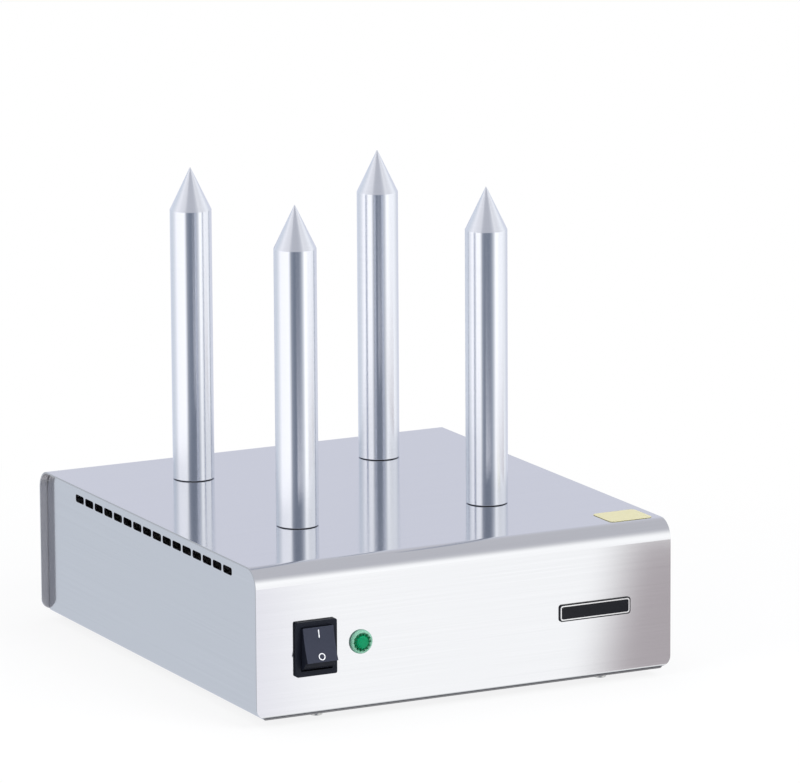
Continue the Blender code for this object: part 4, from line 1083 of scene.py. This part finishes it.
def makeGland(look):
    facing = at(glandMiddle.x, back + fitGap, glandMiddle.z, toBack)

    def disc(name, radius, low, high):
        return plate(name, [circle(radius, look["steps"])], low, high)

    base, mouth, wall = look["hex"], look["mouth"], look["sealWall"]
    top, inside = base + look["collar"], -(cover["sheet"] + 2 * fitGap + look["threadLength"])
    body = rounded(plate("gland_base", [hexagon(look["hexFlats"])], 0, base), *look["edge"])
    body = join(body, disc("thread", look["thread"], inside, base / 2))
    body = join(body, disc("collar", look["collarRadius"], base / 2, top))
    body = cut(body, disc("bore", look["bore"], 2 * inside, 2 * top))
    piece(moved(body, facing), "blackPlastic", "black_plastic", ["gland_body"])

    rim = base + fitGap + look["nutHex"]
    high, shoulder = rim + look["dome"], rim + look["shoulder"]
    nut = plate("gland_dome", [hexagon(look["nutFlats"])], base + fitGap, rim)
    outer, crown = look["nutFlats"] / 2 - fitGap, mouth + wall
    middle = rim - look["nutHex"] / 2
    bulge = oval((crown, shoulder), outer - crown, high - shoulder, quarter, 0)
    profile = [(0, high)] + bulge + [(outer, middle), (0, middle)]
    nut = join(rounded(nut, *look["edge"]), lathe("dome", profile, look["domeSteps"]))
    nut = cut(nut, disc("socket", look["collarRadius"] + fitGap, 0, top + fitGap))
    nut = cut(nut, disc("mouth", mouth, 0, 2 * high))
    piece(moved(nut, facing), "blackPlastic", "black_plastic", ["gland_nut"])

    outer, inner, soft = mouth - fitGap, mouth - fitGap - wall, wall / 3
    low, high = top + fitGap, high - fitGap
    profile = arc((inner + soft, high - soft), soft, 2 * quarter, quarter)
    profile += arc((outer - soft, high - soft), soft, quarter, 0) + [(outer, low), (inner, low)]
    seal = lathe("gland_ring", profile, look["steps"], ring=True)
    piece(moved(seal, facing), "footRubber", "foot_rubber", ["gland_seal"])


makeGland(gland)
print("gland made")


# Floor, backdrop and light

stage = {
    "floorRadius": 6.0,
    "floorSegments": 96,
    "floorColour": (0.88, 0.88, 0.885),
    "shadowReach": (0.20, 0.55),  # between these distances the floor turns plain white
    "nearWhite": 0.83,  # how far it has turned beside the machine
    "dark": (-0.036, -0.021),  # and how far out from its sides that begins
}
# What the metal mirrors: a ring of shades, by degrees from a fixed side, and the ceiling
room = {
    "facing": 26.82,  # that side, to the left of the front
    "ring": [
        (-180, (0.73, 0.745, 0.84)),
        (-150, (0.80, 0.83, 0.91)),
        (-130, (0.735, 0.785, 0.855)),
        (-105, (0.90, 0.92, 0.96)),
        (-84, (1.27, 1.255, 1.27)),
        (-34, (1.33, 1.315, 1.31)),
        (-21, (0.35, 0.38, 0.44)),
        (-6, (0.21, 0.24, 0.30)),
        (17, (0.22, 0.25, 0.31)),
        (29, (0.37, 0.40, 0.46)),
        (42, (0.78, 0.80, 0.84)),
        (51, (1.40, 1.39, 1.36)),
        (64, (1.37, 1.37, 1.35)),
        (74, (1.24, 1.24, 1.24)),
        (92, (1.24, 1.24, 1.25)),
        (118, (1.02, 1.03, 1.04)),
        (136, (0.80, 0.82, 0.89)),
        (180, (0.73, 0.745, 0.84)),
    ],
    "ceiling": (0.70, 0.70, 0.74),
    "rise": (15, 50),  # degrees of elevation over which the ring turns into the ceiling
    "glow": 1.06,  # how much brighter the ring is at eye level than near the floor
    "glowHeights": (-0.2, 0.25),
    "deep": 0.6,  # and how dark it grows towards the floor
    "deepHeights": (-0.85, -0.4),
    "dim": [(-180, 0), (54, 0), (65, 0.13), (92, 0.13), (106, 0), (180, 0)],
    "dimHeights": (0.02, 0.16),  # the share in dim is taken off above these
    "light": (0.90, 0.92, 0.96),
    "strength": 0.62,
}
lights = {
    # name: (place, aimed at, width and height, power)
    "keyLight": ((0.55, -1.35, 1.05), (0.0, 0.0, 0.08), (0.9, 0.8), 13.0),
    "leftLight": ((-1.45, -0.55, 0.90), (0.0, 0.0, 0.12), (0.8, 0.9), 8.0),
    "topLight": ((0.0, 0.10, 1.60), (0.0, 0.0, 0.10), (1.2, 1.2), 8.0),
}
# Low cards mirrored in the ends of the front: a warm one at the right, a pale one at the left
cardsAlong = Vector((0.8919, 0.4522, 0))
cardHeights = (-0.10, 0.012)
lowCards = {
    # name: (start, width, width of the soft end, lean, shade)
    "warmCard": ((0.2442, -0.45), 0.6, 0.043, 0.0216, (0.605, 0.55, 0.56)),
    "paleCard": ((0.065, -0.45), -0.4, 0.07, 0.0, (1.155, 1.135, 1.19)),
}


def mixShaders(tree, *sources):
    mix = node(tree, "ShaderNodeMixShader")
    feedAll(tree, mix.inputs, sources)
    return mix


# A colour for each direction round the machine
def ringRamp(tree, share, rows):
    ramp = node(tree, "ShaderNodeValToRGB", Fac=share)
    stops = ramp.color_ramp.elements
    while len(stops) < len(rows):
        stops.new(0.5)
    for stop, (degrees, colour) in zip(stops, rows):
        stop.position = degrees / 360 + 0.5
    for stop, (degrees, colour) in zip(stops, rows):
        stop.color = (*colour, 1)
    return ramp


def plainTree(owner):
    owner.use_nodes = True
    owner.node_tree.nodes.clear()
    return owner.node_tree


def background(tree, colour, strength=1.0):
    return node(tree, "ShaderNodeBackground", Color=colour, Strength=strength)


def makeWorld(look):
    world = bpy.data.worlds.new("room")
    bpy.context.scene.world = world
    tree = plainTree(world)
    ray = node(tree, "ShaderNodeLightPath").outputs
    outward = node(tree, "ShaderNodeTexCoord").outputs["Generated"]
    facing = {"Vector": outward, "Angle": math.radians(look["facing"])}
    turned = node(tree, "ShaderNodeVectorRotate", {"rotation_type": "Z_AXIS"}, **facing)
    x, y, z = node(tree, "ShaderNodeSeparateXYZ", Vector=turned).outputs
    angle = treeMath(tree, "ARCTAN2", x, treeMath(tree, "MULTIPLY", y, -1.0))
    share = treeMath(tree, "ADD", treeMath(tree, "DIVIDE", angle, 2 * math.pi), 0.5)
    ring = ringRamp(tree, share, look["ring"])
    dim = ringRamp(tree, share, [(degrees, (amount,) * 3) for degrees, amount in look["dim"]])
    high = mapRange(tree, z, look["dimHeights"], (0, 1))
    held = treeMath(tree, "SUBTRACT", 1.0, treeMath(tree, "MULTIPLY", dim, high))
    glow = mapRange(tree, z, look["glowHeights"], (1, look["glow"]), "LINEAR")
    deep = mapRange(tree, z, look["deepHeights"], (look["deep"], 1))
    strength = treeMath(tree, "MULTIPLY", treeMath(tree, "MULTIPLY", glow, deep), held)
    lit = node(tree, "ShaderNodeVectorMath", {"operation": "SCALE"}, Vector=ring, Scale=strength)
    rise = [math.sin(math.radians(degrees)) for degrees in look["rise"]]
    sky = mixColours(tree, mapRange(tree, z, rise, (0, 1)), lit, (*look["ceiling"], 1))
    soft = background(tree, (*look["light"], 1), look["strength"])
    mirrored = mixShaders(tree, ray["Is Glossy Ray"], soft, background(tree, sky))
    seen = treeMath(tree, "MAXIMUM", ray["Is Camera Ray"], ray["Is Transmission Ray"])
    plain = background(tree, (1, 1, 1, 1))
    node(tree, "ShaderNodeOutputWorld", Surface=mixShaders(tree, seen, mirrored, plain))


# Matt paper that fades into plain white, so that only the shadow round the machine shows
def makeFloor(look):
    material = bpy.data.materials.new("paperFloor")
    tree = plainTree(material)
    matt = node(tree, "ShaderNodeBsdfDiffuse", Color=(*look["floorColour"], 1))
    plain = node(tree, "ShaderNodeEmission", Color=(1, 1, 1, 1), Strength=1.0)
    seen = node(tree, "ShaderNodeLightPath").outputs["Is Camera Ray"]
    place = node(tree, "ShaderNodeTexCoord").outputs["Object"]
    far = node(tree, "ShaderNodeVectorMath", {"operation": "LENGTH"}, Vector=place).outputs["Value"]
    parts = node(tree, "ShaderNodeSeparateXYZ", Vector=place).outputs
    aside = treeMath(tree, "SUBTRACT", treeMath(tree, "ABSOLUTE", parts["X"]), coverWidth / 2)
    off = treeMath(tree, "ABSOLUTE", treeMath(tree, "SUBTRACT", parts["Y"], halfWay))
    ahead = treeMath(tree, "SUBTRACT", off, (back - front) / 2)
    outside = treeMath(tree, "MAXIMUM", aside, ahead)
    near = mapRange(tree, outside, look["dark"], (1, 1 - look["nearWhite"]))
    fade = mapRange(tree, far, look["shadowReach"], (1, 0))
    white = treeMath(tree, "SUBTRACT", 1.0, treeMath(tree, "MULTIPLY", near, fade))
    share = treeMath(tree, "MULTIPLY", seen, white)
    node(tree, "ShaderNodeOutputMaterial", Surface=mixShaders(tree, share, matt, plain))
    shape = bmesh.new()
    size = {"segments": look["floorSegments"], "radius": look["floorRadius"]}
    bmesh.ops.create_circle(shape, cap_ends=True, **size)
    floor = fromBmesh("floor", shape)
    floor.data.materials.append(material)
    floor.visible_glossy = False


def makeLight(name, place, aim, size, power):
    data = bpy.data.lights.new(name, "AREA")
    data.shape = "RECTANGLE"
    data.size, data.size_y = size
    data.energy = power
    light = linked(bpy.data.objects.new(name, data))
    light.visible_glossy = False
    turn = (Vector(aim) - Vector(place)).to_track_quat("-Z", "Y")
    light.matrix_world = at(*place, turn.to_matrix().to_4x4())


def makeCard(name, start, width, soft, lean, shade):
    material = bpy.data.materials.new(name)
    tree = plainTree(material)
    across = node(tree, "ShaderNodeSeparateXYZ", Vector=node(tree, "ShaderNodeUVMap"))
    fade = mapRange(tree, across, (0, 1), (0, 1))
    clear = node(tree, "ShaderNodeBsdfTransparent")
    lit = node(tree, "ShaderNodeEmission", Color=(*shade, 1), Strength=1.0)
    node(tree, "ShaderNodeOutputMaterial", Surface=mixShaders(tree, fade, clear, lit))
    low, high = (Vector((*start, height)) for height in cardHeights)
    low -= cardsAlong * lean
    wide = cardsAlong * width
    shape = bmesh.new()
    layer = shape.loops.layers.uv.new("fade")
    face = shape.faces.new([shape.verts.new(spot) for spot in (low, low + wide, high + wide, high)])
    end = abs(width) / soft
    for loop, u in zip(face.loops, (0, end, end, 0)):
        loop[layer].uv = (u, 0)
    screen = fromBmesh(name, shape)
    screen.data.materials.append(material)
    for kind in ("camera", "diffuse", "shadow", "transmission"):
        setattr(screen, "visible_" + kind, False)


makeWorld(room)
makeFloor(stage)
for name, row in lights.items():
    makeLight(name, *row)
for name, row in lowCards.items():
    makeCard(name, *row)
bpy.context.scene.view_settings.view_transform = "Standard"
print("stage and light made")
